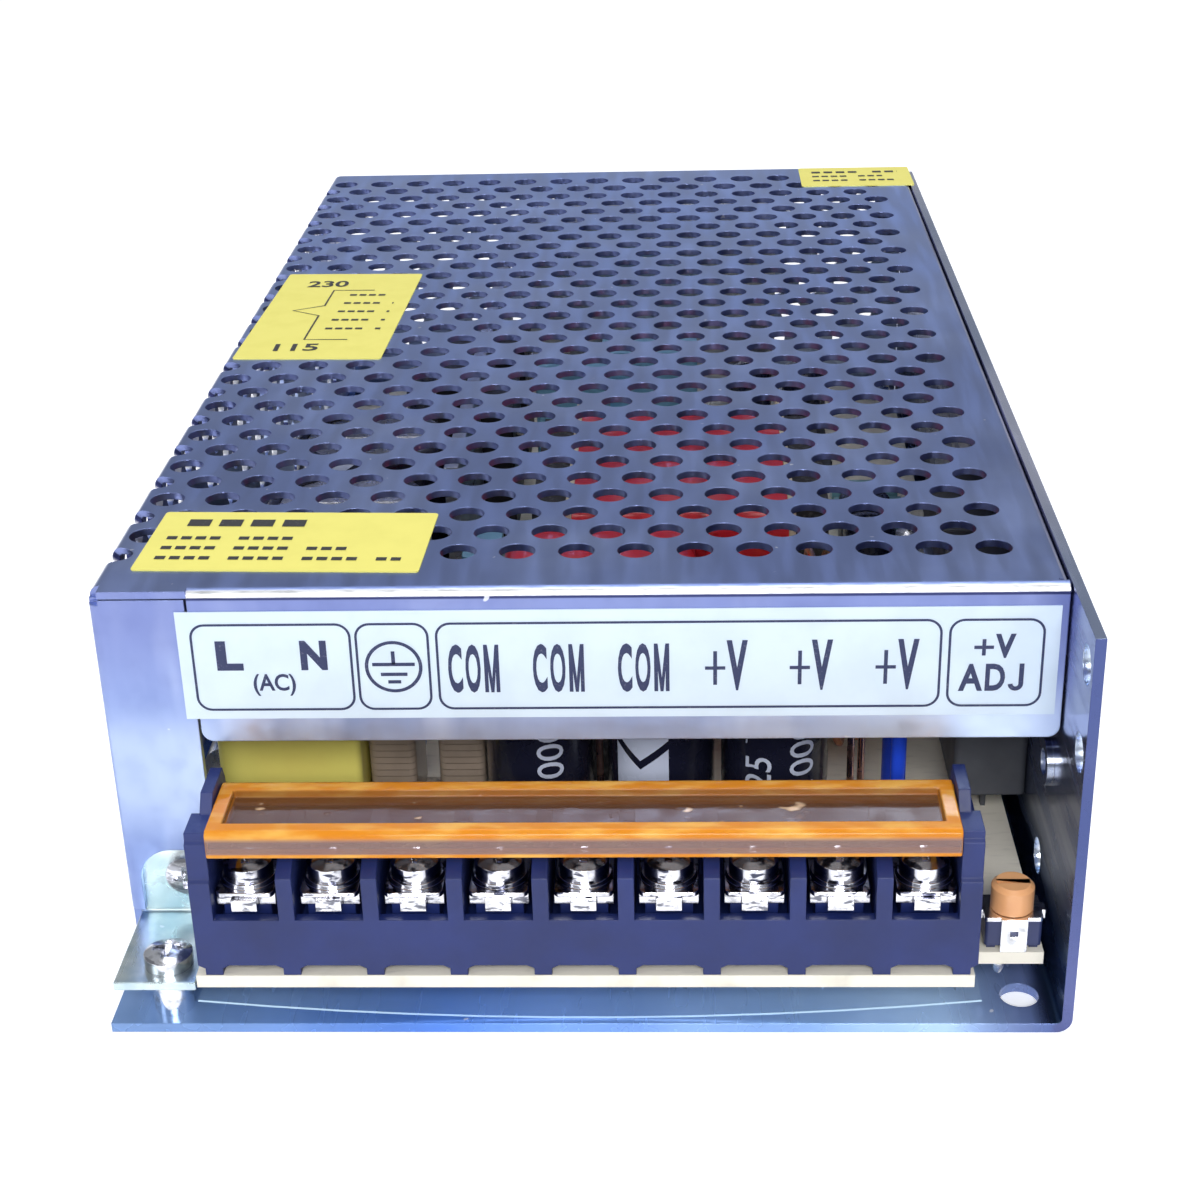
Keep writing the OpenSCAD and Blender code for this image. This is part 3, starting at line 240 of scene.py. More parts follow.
    def between(self, value: bpy.types.NodeSocket, rise: Pair, fall: Pair,
                top: float = 1.0) -> bpy.types.NodeSocket:
        """A band: a soft step up times a soft step down.

        Args:
            value: where the band is read.
            rise: start and end of the step up.
            fall: start and end of the step down.
            top: value inside the band.

        Returns:
            The band's socket, 0 outside it.
        """
        return self.times(self.span(value, *rise), self.span(value, *fall, top, 0.0))

    def axes(self, vector: bpy.types.NodeSocket) -> List[bpy.types.NodeSocket]:
        """Splits a vector into its X, Y and Z sockets."""
        node = self.tree.nodes.new("ShaderNodeSeparateXYZ")
        self.link(vector, node.inputs[0])
        return list(node.outputs)

    def place(self) -> List[bpy.types.NodeSocket]:
        """The X, Y and Z of each point, in metres."""
        return self.axes(self.coords())

    def facing(self) -> List[bpy.types.NodeSocket]:
        """The X, Y and Z of the surface's outward direction."""
        return self.axes(self.coords(space="Normal"))

    def ahead(self, edge: float = -0.6) -> bpy.types.NodeSocket:
        """1 on faces that look to the front, along -Y; it fades to 0 where the direction's Y is edge."""
        return self.span(self.facing()[1], -0.9, edge, 1.0, 0.0)

    def bump(self, height: bpy.types.NodeSocket, strength: float, depth: float, edge: float = 0.0) -> None:
        """Adds relief, and rounds sharp edges in the light where edge is given.

        Args:
            height: relief, 0 to 1.
            strength: share of the relief.
            depth: depth of the relief in metres.
            edge: radius of the rounded edges in metres.
        """
        node = self.tree.nodes.new("ShaderNodeBump")
        node.inputs["Strength"].default_value = strength
        node.inputs["Distance"].default_value = depth
        self.link(height, node.inputs["Height"])
        if edge > 0.0:
            rounded = self.tree.nodes.new("ShaderNodeBevel")
            rounded.samples = 4
            rounded.inputs["Radius"].default_value = edge
            self.link(rounded.outputs["Normal"], node.inputs["Normal"])
        self.link(node.outputs["Normal"], self.surface.inputs["Normal"])


@dataclass(frozen=True)
class Finish:
    """A finish that can be put on any piece."""

    name: str

    def build(self, shader: Shader) -> None:
        """Fills in the shader; each kind of finish has its own."""
        raise NotImplementedError

    def material(self) -> bpy.types.Material:
        """The material, made once.

        Returns:
            The material of this finish.
        """
        found = bpy.data.materials.get("finish_" + self.name)
        if found:
            return found
        shader = Shader("finish_" + self.name)
        self.build(shader)
        return shader.material


@dataclass(frozen=True)
class SheetMetal(Finish):
    """Zinc-plated sheet with soft colour drift, handling marks and fine rolling lines."""

    pale: Colour = (0.60, 0.65, 0.80)
    deep: Colour = (0.40, 0.47, 0.66)
    rough: float = 0.3
    drift: float = 28.0
    smear: Point = (1.0, 1.0, 1.0)
    speck: Colour = (0.9, 0.92, 1.0)
    mill_stretch: Point = (1.0, 0.02, 1.0)
    mill_depth: float = 0.00006
    edge: float = 0.00018

    def slow(self, shader: Shader) -> bpy.types.NodeSocket:
        """The slow noise that the tone drifts with."""
        return shader.noise(shader.coords(self.smear), self.drift, 5.0)

    def tone(self, shader: Shader) -> bpy.types.NodeSocket:
        """Two tones mixed by slow noise.

        Args:
            shader: the shader being built.

        Returns:
            The colour socket.
        """
        return shader.mix(shader.span(self.slow(shader), 0.36, 0.66), self.deep, self.pale)

    def metal(self, shader: Shader) -> object:
        """How metallic the sheet is; plain sheet is metal all over."""
        return 1.0

    def build(self, shader: Shader) -> None:
        """Tone, uneven gloss from handling, small pale specks and lines from the rolling mill."""
        marks = shader.noise(shader.coords((1.0, 0.12, 1.0)), 420.0, 2.0)
        lines = shader.noise(shader.coords(self.mill_stretch), 2600.0, 2.0)
        specks = shader.noise(shader.coords(), 620.0, 1.0)
        colour = shader.mix(shader.span(specks, 0.78, 0.83, 0.0, 0.7), self.tone(shader), self.speck)
        shader.set(Base_Color=colour, Metallic=self.metal(shader))
        shader.set(Roughness=shader.span(marks, 0.3, 0.75, self.rough - 0.07, self.rough + 0.1))
        shader.bump(lines, 0.05, self.mill_depth, self.edge)


@dataclass(frozen=True)
class ChassisSheet(SheetMetal):
    """The chassis: a floor in painted blue reflections that darken to painted shade by the wall, and a wall
    with painted shade, painted highlights and painted light in its hole bores.
    """

    # Painted reflections: the floor's colours run across X from teal through blue to violet.
    floor_left: Colour = (0.22, 0.36, 0.66)
    floor_middle: Colour = (0.13, 0.32, 0.92)
    floor_right: Colour = (0.46, 0.66, 1.0)
    # Painted shade: the floor darkens in the corner by the wall.
    floor_end: Colour = (0.16, 0.22, 0.46)
    # Painted shade on the wall: darker towards the bottom of its inner face, and dark on its front edge.
    wall_low: Colour = (0.10, 0.17, 0.32)
    wall_high: Colour = (0.28, 0.30, 0.56)
    wall_edge: Colour = (0.13, 0.15, 0.33)
    # Painted highlight on the wall's top edge.
    wall_top: Colour = (0.62, 0.66, 0.86)
    # Painted light: near white in the hole bores, for light coming through the holes.
    painted_hole_light: Colour = (0.95, 0.97, 1.0)
    film_thin: Colour = (0.62, 0.7, 0.78)
    film_thick: Colour = (1.15, 1.12, 1.08)
    floor_metal: float = 0.3
    half_width: float = 0.055

    def wall(self, shader: Shader) -> bpy.types.NodeSocket:
        """The wall: painted shade that darkens towards the bottom of the inner face, a painted pale outer
        face, painted shade on the front edge, and painted light in the bores.

        Args:
            shader: the shader being built.

        Returns:
            The colour socket.
        """
        place, facing = shader.place(), shader.facing()
        # Painted shade: the inner face darkens towards the bottom, the outer face is painted pale and the
        # front edge painted dark.
        colour = shader.mix(shader.span(place[2], 0.002, 0.046), self.wall_low, self.wall_high)
        colour = shader.mix(shader.span(facing[0], 0.3, 0.7), colour, self.pale)
        colour = shader.mix(shader.ahead(), colour, self.wall_edge)
        # Painted light: the hole bores turn near white, for light coming through the holes.
        bore = shader.times(shader.span(facing[1], -0.6, -0.25, 1.0, 0.0),
                            shader.span(place[1], -0.0992, -0.0985))
        return shader.mix(bore, colour, self.painted_hole_light)

    def tone(self, shader: Shader) -> bpy.types.NodeSocket:
        """The floor's painted reflections run across X and the wall's painted shade runs up Z; slow noise
        varies the tone of both.

        Args:
            shader: the shader being built.

        Returns:
            The colour socket.
        """
        place = shader.place()
        # Painted reflections across the floor, ending in painted shade by the wall.
        floor = shader.ramp(shader.span(place[0], -self.half_width, self.half_width),
                            [(0.0, self.floor_left), (0.28, self.floor_middle),
                             (0.955, self.floor_right), (0.995, self.floor_end)])
        side = shader.span(place[0], self.half_width - 0.003, self.half_width - 0.0015)
        colour = shader.mix(side, floor, self.wall(shader))
        # Painted highlight on the upward faces of the wall's top edge.
        edge = shader.times(shader.span(shader.facing()[2], 0.4, 0.8), shader.span(place[2], 0.03, 0.04))
        colour = shader.mix(edge, colour, self.wall_top)
        film = shader.mix(shader.span(self.slow(shader), 0.3, 0.7), self.film_thin, self.film_thick)
        return shader.mix(1.0, colour, film, "MULTIPLY")

    def metal(self, shader: Shader) -> object:
        """The floor's film of passivate is half matt; wall and edges are bare metal."""
        place = shader.place()
        wall = shader.span(place[0], self.half_width - 0.006, self.half_width - 0.002)
        return shader.math("MAXIMUM", shader.span(place[2], 0.0008, 0.003, self.floor_metal, 1.0), wall)


@dataclass(frozen=True)
class CoverSheet(SheetMetal):
    """The cover: a top in painted dark reflection, painted highlights on the folds, pale hole walls, and a
    pale blue front.
    """

    # Painted reflection: the top's dark slate stands in for a dark surrounding that it mirrors, paling
    # towards the rear.
    top_front: Colour = (0.195, 0.26, 0.53)
    top_rear: Colour = (0.33, 0.45, 0.86)
    cloud: Colour = (0.5, 0.6, 0.9)
    # Painted highlight on the folds.
    fold_highlight: Colour = (0.96, 0.97, 1.0)
    # Painted light on the upright faces: bright is a painted highlight, upper painted shade, streak painted
    # reflection streaks.
    bright: Colour = (0.7, 0.82, 1.0)
    shadow: Colour = (0.05, 0.06, 0.17)
    upper: Colour = (0.20, 0.24, 0.50)
    streak: Colour = (0.66, 0.76, 1.0)

    def front(self, shader: Shader) -> bpy.types.NodeSocket:
        """The upright faces: drifting tone, painted pale reflection streaks, a painted highlight on the
        flank and lip, and painted shade on the upper part.

        Args:
            shader: the shader being built.

        Returns:
            The colour socket.
        """
        x, _, z = shader.place()
        band = shader.noise(shader.coords((1.0, 1.0, 0.22)), 95.0, 3.0)
        plain = SheetMetal.tone(self, shader)
        # Painted reflection: pale upright streaks mixed over the tone.
        colour = shader.mix(shader.span(band, 0.5, 0.66, 0.0, 0.75), plain, self.streak)
        ahead = shader.ahead()
        # Painted highlight: a bright band across the middle height of the faces that look to the front.
        flank = shader.between(z, (0.016, 0.024), (0.03, 0.037), 0.4)
        colour = shader.mix(shader.times(ahead, flank), colour, self.bright)
        # Painted highlight on the lower right part of the faces that look to the front.
        lip = shader.times(shader.span(x, 0.012, 0.045), shader.span(z, 0.034, 0.04, 0.75, 0.0))
        colour = shader.mix(shader.times(ahead, lip), colour, self.bright)
        # Painted shade: the upper part of the upright faces darkens.
        return shader.mix(shader.span(z, 0.031, 0.0475, 0.0, 0.85), colour, self.upper)

    def top(self, shader: Shader) -> bpy.types.NodeSocket:
        """The flat top: a painted dark reflection that pales from front to rear, with soft clouds.

        Args:
            shader: the shader being built.

        Returns:
            The colour socket.
        """
        # Painted reflection that pales from front to rear.
        along = shader.span(shader.place()[1], -0.09, 0.11)
        cloud = shader.noise(shader.coords(), 45.0, 4.0)
        return shader.mix(shader.span(cloud, 0.35, 0.8, 0.0, 0.35),
                          shader.mix(along, self.top_front, self.top_rear), self.cloud)

    def tone(self, shader: Shader) -> bpy.types.NodeSocket:
        """Painted light that follows the turn of the sheet: flat top, a painted highlight on the folds, a
        painted shadow line under them, pale front.

        Args:
            shader: the shader being built.

        Returns:
            The colour socket.
        """
        up = shader.facing()[2]
        # Painted shadow: a dark line where the sheet starts to turn up from the front.
        colour = shader.mix(shader.span(up, 0.02, 0.12), self.front(shader), self.shadow)
        # Painted highlight: the folds turn near white.
        colour = shader.mix(shader.span(up, 0.22, 0.42), colour, self.fold_highlight)
        return shader.mix(shader.span(up, 0.78, 0.93), colour, self.top(shader))


@dataclass(frozen=True)
class BrightMetal(Finish):
    """Nickel or zinc on small turned and stamped pieces."""

    colour: Colour = (0.86, 0.87, 0.9)
    rough: float = 0.16
    edge: float = 0.00012
    flank: float = 0.0
    # Painted reflection: the dark that the metal mirrors on its sides and in streaks.
    painted_dark_reflection: Colour = (0.035, 0.04, 0.075)

    def build(self, shader: Shader) -> None:
        """Bright metal with small stains; flank sets the painted dark reflection on left and right sides
        and in streaks.
        """
        place = shader.coords()
        stain = shader.noise(place, 700.0, 3.0)
        colour = shader.mix(shader.span(stain, 0.5, 0.75), self.colour, shaded(self.colour, 0.6))
        # Painted reflection: sides facing left and right, and upright streaks, darken toward the painted
        # dark reflection colour.
        if self.flank > 0.0:
            side = shader.math("ABSOLUTE", shader.facing()[0])
            streak = shader.noise(shader.coords((1.0, 1.0, 3.0)), 520.0, 3.0)
            fac = shader.math("MAXIMUM", shader.span(side, 0.25, 0.75, 0.0, self.flank),
                              shader.span(streak, 0.53, 0.62, 0.0, self.flank))
            colour = shader.mix(fac, colour, self.painted_dark_reflection)
        shader.set(Base_Color=colour, Metallic=1.0)
        shader.set(Roughness=shader.span(stain, 0.35, 0.7, self.rough, self.rough + 0.14))
        shader.bump(shader.noise(place, 2400.0, 2.0), 0.12, 0.00004, self.edge)


@dataclass(frozen=True)
class Moulded(Finish):
    """Moulded or coated plastic with a fine skin and faint cloudiness."""

    colour: Colour = (0.1, 0.1, 0.12)
    rough: float = 0.42
    cloud: float = 0.18
    grain: float = 1800.0
    relief: float = 0.15
    edge: float = 0.00015
    coat: float = 0.0

    def build(self, shader: Shader) -> None:
        """Base colour with slow cloudiness, a fine grain and softly lit edges."""
        place = shader.coords()
        slow = shader.noise(place, 90.0, 4.0)
        dark, light = shaded(self.colour, 1.0 - self.cloud), shaded(self.colour, 1.0 + self.cloud)
        shader.set(Base_Color=shader.mix(shader.span(slow, 0.3, 0.7), dark, light))
        fine = shader.noise(place, self.grain, 2.0)
        shader.set(Roughness=shader.span(fine, 0.2, 0.8, self.rough - 0.06, self.rough + 0.06))
        shader.set(Coat_Weight=self.coat, Coat_Roughness=0.12)
        shader.bump(fine, self.relief, 0.00005, self.edge)


@dataclass(frozen=True)
class AmberClear(Finish):
    """Clear amber plastic whose thick rims gather colour and whose thin window stays grey-brown."""

    rim: Colour = (0.72, 0.25, 0.015)
    # Painted glow: a brighter orange that stands in for light caught in the thick rims.
    glow: Colour = (0.85, 0.45, 0.09)
    window: Colour = (0.13, 0.055, 0.024)
    # Painted highlight: the colour of the glints in the window.
    glint: Colour = (0.95, 0.66, 0.42)
    front_face_grey: Colour = (0.42, 0.31, 0.32)
    window_x: Pair = (0.0, 0.0)
    window_y: Pair = (0.0, 0.0)
    face_z: Pair = (0.0, 0.0)
    soft: float = 0.0003
    solid: float = 0.94
    window_clear: float = 0.18
    face_clear: float = 0.45

    def inside(self, shader: Shader, value: bpy.types.NodeSocket, ends: Pair) -> bpy.types.NodeSocket:
        """1 between two ends, with soft steps at both.

        Args:
            shader: the shader being built.
            value: where it is read.
            ends: low and high end.

        Returns:
            The mask's socket.
        """
        rise, fall = ((end - self.soft, end + self.soft) for end in ends)
        return shader.between(value, rise, fall)

    def build(self, shader: Shader) -> None:
        """See-through brown in the window with painted glints, dense orange rims with a painted glow, and a
        grey band along the front face.
        """
        x, y, z = shader.place()
        inside = shader.times(self.inside(shader, x, self.window_x), self.inside(shader, y, self.window_y))
        # This noise gives the bump its moulding lines and also paints the glow of light into the rims.
        flow_and_glow = shader.noise(shader.coords((1.0, 3.0, 3.0)), 160.0, 3.0)
        rim = shader.mix(shader.span(flow_and_glow, 0.4, 0.75), self.rim, self.glow)
        low, high = self.face_z
        middle = shader.between(z, (low + 0.0004, low + 0.0007), (high - 0.0014, high - 0.0007))
        face = shader.times(middle, shader.ahead())
        # Painted glints: pale spots in the window stand in for highlights of the screws below it.
        glint_spots = shader.noise(shader.coords((1.0, 1.6, 1.0)), 230.0, 2.0)
        window = shader.mix(shader.span(glint_spots, 0.66, 0.74), self.window, self.glint)
        colour = shader.mix(inside, rim, window)
        # A grey band is mixed over the middle of the front face.
        shader.set(Base_Color=shader.mix(shader.times(face, 0.85), colour, self.front_face_grey), Roughness=0.08)
        clear = shader.math("MAXIMUM", shader.times(inside, self.window_clear),
                            shader.times(face, self.face_clear))
        shader.set(Alpha=shader.math("SUBTRACT", self.solid, clear))
        shader.set(Coat_Weight=0.15, Coat_Roughness=0.04, Specular_IOR_Level=0.2)
        shader.bump(flow_and_glow, 0.2, 0.0001, 0.0002)


@dataclass(frozen=True)
class ClearFilm(Finish):
    """Thin clear film: mostly see-through, with a faint blue body and gloss."""

    colour: Colour = (0.55, 0.78, 0.95)

    def build(self, shader: Shader) -> None:
        """A thin clear sheet that shows mainly by its gloss and its edges."""
        ripple = shader.noise(shader.coords((1.0, 0.2, 1.0)), 60.0, 2.0)
        shader.set(Base_Color=self.colour, Roughness=0.08, Specular_IOR_Level=0.8)
        shader.set(Alpha=shader.span(shader.facing()[1], -0.9, -0.5, 0.8, 0.05))
        shader.bump(ripple, 0.1, 0.0003)


@dataclass(frozen=True)
class GlassTube(Finish):
    """Clear glass of a small tube."""

    def build(self, shader: Shader) -> None:
        """Clear glass with faint streaks."""
        streak = shader.noise(shader.coords((3.0, 0.3, 3.0)), 300.0, 2.0)
        shader.set(Base_Color=(0.9, 0.95, 0.97), Transmission_Weight=0.85)
        shader.set(Roughness=shader.span(streak, 0.3, 0.7, 0.03, 0.1))


@dataclass(frozen=True)
class LabelStock(Finish):
    """Coated paper or film of a label, with a trace of fibre and handling."""

    colour: Colour = (0.70, 0.83, 0.96)

    def build(self, shader: Shader) -> None:
        """Even colour with a faint mottle and a low sheen."""
        place = shader.coords()
        mottle = shader.noise(place, 160.0, 5.0)
        worn = shaded(self.colour, 0.94)
        shader.set(Base_Color=shader.mix(shader.span(mottle, 0.35, 0.7), self.colour, worn))
        shader.set(Roughness=shader.span(mottle, 0.3, 0.7, 0.34, 0.46))
        shader.bump(shader.noise(place, 900.0, 3.0), 0.1, 0.00003)


@dataclass(frozen=True)
class Ink(Finish):
    """Printing ink with slightly uneven cover."""

    colour: Colour = (0.02, 0.03, 0.1)

    def build(self, shader: Shader) -> None:
        """Dark ink that thins out in specks."""
        cover = shader.noise(shader.coords(), 3500.0, 3.0)
        thin = tuple(min(part + 0.07, 1.0) for part in self.colour)
        shader.set(Base_Color=shader.mix(shader.span(cover, 0.58, 0.75), self.colour, thin), Roughness=0.4)


@dataclass(frozen=True)
class BoardStock(Finish):
    """Cream phenolic circuit board with pale print lines and edge fibres."""

    colour: Colour = (0.95, 0.9, 0.77)

    def build(self, shader: Shader) -> None:
        """Cream paper board with drawn fibres and a few tan patches."""
        place = shader.coords((1.0, 4.0, 1.0))
        fibre = shader.noise(place, 260.0, 4.0)
        tan = shaded(self.colour, 0.82)
        shader.set(Base_Color=shader.mix(shader.span(fibre, 0.5, 0.8), self.colour, tan))
        shader.set(Roughness=shader.span(fibre, 0.3, 0.7, 0.45, 0.6))
        shader.bump(fibre, 0.15, 0.00005, 0.00015)


@dataclass(frozen=True)
class WoundTape(Finish):
    """Glossy tape wound round a coil: overlapping turns across one axis."""

    colour: Colour = (0.8, 0.05, 0.1)
    axis: int = 0
    pitch: float = 0.0062

    def build(self, shader: Shader) -> None:
        """Each turn ends in a thin raised step; wrinkles run across the turns."""
        turn = shader.math("FRACT", shader.times(shader.place()[self.axis], 1.0 / self.pitch))
        step = shader.span(turn, 0.86, 0.97)
        wrinkle = shader.noise(shader.coords(), 240.0, 4.0)
        base = shader.mix(shader.span(wrinkle, 0.35, 0.7), self.colour, shaded(self.colour, 0.85))
        shader.set(Base_Color=shader.mix(step, base, shaded(self.colour, 0.62)))
        shader.set(Roughness=0.28, Coat_Weight=0.4)
        shader.bump(shader.math("ADD", step, shader.times(wrinkle, 0.6)), 0.5, 0.0002)


@dataclass(frozen=True)
class Enamelled(Finish):
    """Enamelled copper wire."""

    colour: Colour = (0.82, 0.36, 0.2)

    def build(self, shader: Shader) -> None:
        """Warm metal under a thin clear enamel."""
        patch = shader.noise(shader.coords(), 500.0, 3.0)
        brown = shaded(self.colour, 0.7)
        shader.set(Base_Color=shader.mix(shader.span(patch, 0.4, 0.75), self.colour, brown), Metallic=1.0)
        shader.set(Roughness=shader.span(patch, 0.3, 0.7, 0.22, 0.36), Coat_Weight=0.5)


@dataclass(frozen=True)
class Ferrite(Finish):
    """Sintered dark core with pores and a dull grain."""

    colour: Colour = (0.055, 0.055, 0.062)
    rubbed: Colour = (0.16, 0.16, 0.17)

    def build(self, shader: Shader) -> None:
        """Dark grey grain with paler rubbed spots."""
        grain = shader.noise(shader.coords(), 1500.0, 4.0)
        shader.set(Base_Color=shader.mix(shader.span(grain, 0.45, 0.8), self.colour, self.rubbed))
        shader.set(Roughness=0.62, Metallic=0.2)
        shader.bump(grain, 0.35, 0.00008, 0.0002)


@dataclass(frozen=True)
class CanSleeve(Finish):
    """Shrink sleeve of a capacitor can, read from its UV map: u goes round the can and v up it."""

    colour: Colour = (0.012, 0.013, 0.03)
    stripe: Colour = (0.68, 0.74, 0.92)
    stripe_at: float = 0.75
    stripe_half: float = 0.085
    chevrons: float = 3.0
    slope: float = 4.2
    line: float = 0.14
    phase: float = 10.35

    def build(self, shader: Shader) -> None:
        """Dark gloss with one pale stripe of dark chevrons, whose lines fall away from its middle."""
        place = shader.axes(shader.coords(space="UV"))
        away = shader.math("ABSOLUTE", shader.math("SUBTRACT", place[0], self.stripe_at))
        in_stripe = shader.math("LESS_THAN", away, self.stripe_half)
        rise, fall = shader.times(place[1], self.chevrons), shader.times(away, self.slope)
        tooth = shader.math("ADD", shader.math("SUBTRACT", rise, fall), self.phase)
        line = shader.math("LESS_THAN", shader.math("FRACT", tooth), self.line)
        stripe = shader.mix(line, self.stripe, self.colour)
        mottle = shader.noise(shader.coords(), 300.0, 3.0)
        shader.set(Base_Color=shader.mix(in_stripe, self.colour, stripe))
        shader.set(Roughness=shader.span(mottle, 0.3, 0.7, 0.2, 0.32), Coat_Weight=0.4)
        shader.bump(mottle, 0.12, 0.0001)


@dataclass(frozen=True)
class Backdrop(Finish):
    """Plain pale floor whose glow shows to camera, gloss and glass alone, and more of it far away."""

    colour: Colour = (0.86, 0.87, 0.9)
    glow_colour: Colour = (0.97, 0.98, 1.0)
    glow: float = 0.42
    distance_glow: float = 0.3

    def build(self, shader: Shader) -> None:
        """Matt floor with a trace of grain, a little lighter where it is seen than where it lights."""
        grain = shader.noise(shader.coords(), 40.0, 2.0)
        path = shader.tree.nodes.new("ShaderNodeLightPath")
        camera = path.outputs["Is Camera Ray"]
        seen = shader.math("MAXIMUM", camera, path.outputs["Is Glossy Ray"])
        seen = shader.math("MAXIMUM", seen, path.outputs["Is Transmission Ray"])
        x, y, _ = shader.place()
        away = shader.math("ADD", shader.times(x, x), shader.times(y, y))
        far = shader.times(camera, shader.span(away, 0.1, 4.0, 0.0, self.distance_glow))
        shader.set(Base_Color=shader.mix(grain, self.colour, shaded(self.colour, 0.99)))
        shader.set(Emission_Color=self.glow_colour)
        shader.set(Emission_Strength=shader.math("ADD", shader.times(seen, self.glow), far))
        shader.set(Roughness=0.75, Specular_IOR_Level=0.15)


# ---------------------------------------------------------------- surfaces


@dataclass
class Surface:
    """Vertices and quad or triangle faces gathered as arrays, in metres."""

    points: List[np.ndarray] = field(default_factory=list)
    faces: List[np.ndarray] = field(default_factory=list)
    uvs: List[np.ndarray] = field(default_factory=list)
    count: int = 0

    def add(self, points: np.ndarray, faces: np.ndarray, uv: Optional[np.ndarray] = None) -> None:
        """Adds one patch.

        Args:
            points: vertices, n by 3.
            faces: indices into points, one row a face.
            uv: a UV pair for each face corner, or None.
        """
        self.points.append(points)
        self.faces.append(faces + self.count)
        self.uvs.append(np.zeros((faces.size, 2)) if uv is None else uv)
        self.count += len(points)

    def grid(self, points: np.ndarray, round_u: bool = False, round_v: bool = False,
             share: Optional[np.ndarray] = None) -> None:
        """Adds a grid surface: point (i, j) joins (i + 1, j) and (i, j + 1), and wraps where asked.

        Args:
            points: the grid, nu by nv by 3.
            round_u: whether the last row joins the first.
            round_v: whether the last column joins the first.
            share: the V coordinate of each column, or None for even steps.
        """
        nu, nv = points.shape[:2]
        i = np.arange(nu if round_u else nu - 1)
        j = np.arange(nv if round_v else nv - 1)
        a, b = np.meshgrid(i, j, indexing="ij")
        corners = [(a, b), (a + 1, b), (a + 1, b + 1), (a, b + 1)]
        faces = np.stack([(u % nu) * nv + v % nv for u, v in corners], axis=-1).reshape(-1, 4)
        steps = np.arange(nv + 1) / len(j) if share is None else share
        uv = np.stack([np.stack([u / len(i), steps[v]], axis=-1) for u, v in corners], axis=2)
        self.add(points.reshape(-1, 3), faces, uv.reshape(-1, 2))

    def lathe(self, centre: Point, profile: Sequence[Tuple[float, float]], sides: int = 64,
              start: float = 0.0) -> None:
        """Revolves a profile of (radius, height) about an upright axis: x = r cos t, y = r sin t.

        Args:
            centre: foot of the axis.
            profile: radii and heights from the foot to the top; it starts and ends at radius 0.
            sides: steps round the axis.
            start: angle of the first step in radians.
        """
        r, z = np.array(profile, float).T
        t = np.linspace(0.0, 2.0 * np.pi, sides, endpoint=False) + start
        grid = np.stack([np.outer(np.cos(t), r), np.outer(np.sin(t), r), np.tile(z, (sides, 1))], axis=-1)
        self.grid(grid + np.array(centre), round_u=True, share=(z - z.min()) / max(np.ptp(z), 1e-9))

    def tube(self, path: np.ndarray, radius: float, sides: int = 10, closed: bool = False) -> None:
        """Carries a circle along a path, in the frame of its tangent and a steady side vector.

        Args:
            path: the centreline, n by 3.
            radius: radius of the tube.
            sides: steps round the tube.
            closed: whether the path joins its own start.
        """
        ahead, behind = np.roll(path, -1, axis=0), np.roll(path, 1, axis=0)
        if not closed:
            ahead[-1], behind[0] = path[-1], path[0]
        tangent = ahead - behind
        tangent /= np.linalg.norm(tangent, axis=1, keepdims=True)
        helper = np.array([0.31, 0.17, 0.93]) if closed else np.array([0.83, 0.21, 0.13])
        side = np.cross(tangent, helper)
        side /= np.linalg.norm(side, axis=1, keepdims=True)
        other = np.cross(tangent, side)
        t = np.linspace(0.0, 2.0 * np.pi, sides, endpoint=False)
        ring = np.cos(t)[None, :, None] * side[:, None] + np.sin(t)[None, :, None] * other[:, None]
        grid = path[:, None] + radius * ring
        if not closed:
            caps = np.repeat(path[[0, -1], None], sides, axis=1)
            grid = np.concatenate([caps[:1], grid, caps[1:]])
        self.grid(grid, round_u=closed, round_v=True)

    def build(self, name: str, smooth: float = 40.0) -> bpy.types.Object:
        """Makes the mesh object, merges doubles and turns its faces outwards.

        Args:
            name: name of the object.
            smooth: edges below this angle, in degrees, are shaded smooth.

        Returns:
            The new object, at the origin.
        """
        points = np.concatenate(self.points)
        sizes = np.concatenate([np.full(len(f), f.shape[1]) for f in self.faces])
        loops = np.concatenate([f.reshape(-1) for f in self.faces])
        mesh = bpy.data.meshes.new(name)
        mesh.vertices.add(len(points))
        mesh.vertices.foreach_set("co", points.astype(np.float32).reshape(-1))
        mesh.loops.add(len(loops))
        mesh.loops.foreach_set("vertex_index", loops.astype(np.int32))
        mesh.polygons.add(len(sizes))
        starts = np.concatenate([[0], np.cumsum(sizes)[:-1]])
        mesh.polygons.foreach_set("loop_start", starts.astype(np.int32))
        mesh.uv_layers.new(name="UVMap")
        mesh.update(calc_edges=True)
        mesh.uv_layers[0].data.foreach_set("uv", np.concatenate(self.uvs).astype(np.float32).reshape(-1))
        piece = bpy.data.objects.new(name, mesh)
        bpy.context.scene.collection.objects.link(piece)
        clean(mesh, smooth)
        return piece


def clean(mesh: bpy.types.Mesh, smooth: float = 40.0, flat: float = 0.0) -> None:
    """Merges doubles, drops empty faces, turns faces outwards and marks sharp edges.

    Args:
        mesh: the mesh to clean.
        smooth: edges below this angle, in degrees, are shaded smooth.
        flat: neighbouring faces within this angle, in degrees, are joined; 0 leaves them.
    """
    work = bmesh.new()
    work.from_mesh(mesh)
    bmesh.ops.remove_doubles(work, verts=work.verts, dist=1e-7)
    bmesh.ops.dissolve_degenerate(work, edges=work.edges, dist=1e-8)
    if flat > 0.0:
        bmesh.ops.dissolve_limit(work, angle_limit=math.radians(flat), verts=work.verts, edges=work.edges)
    bmesh.ops.recalc_face_normals(work, faces=work.faces)
    for face in work.faces:
        face.smooth = True
    for edge in work.edges:
        edge.smooth = not (edge.is_manifold and edge.calc_face_angle(0.0) > math.radians(smooth))
    work.to_mesh(mesh)
    work.free()


def middle_of(node: str) -> np.ndarray:
    """The middle of a node's box, in metres."""
    low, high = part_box(node)
    return (np.array(low, float) + np.array(high, float)) / 2


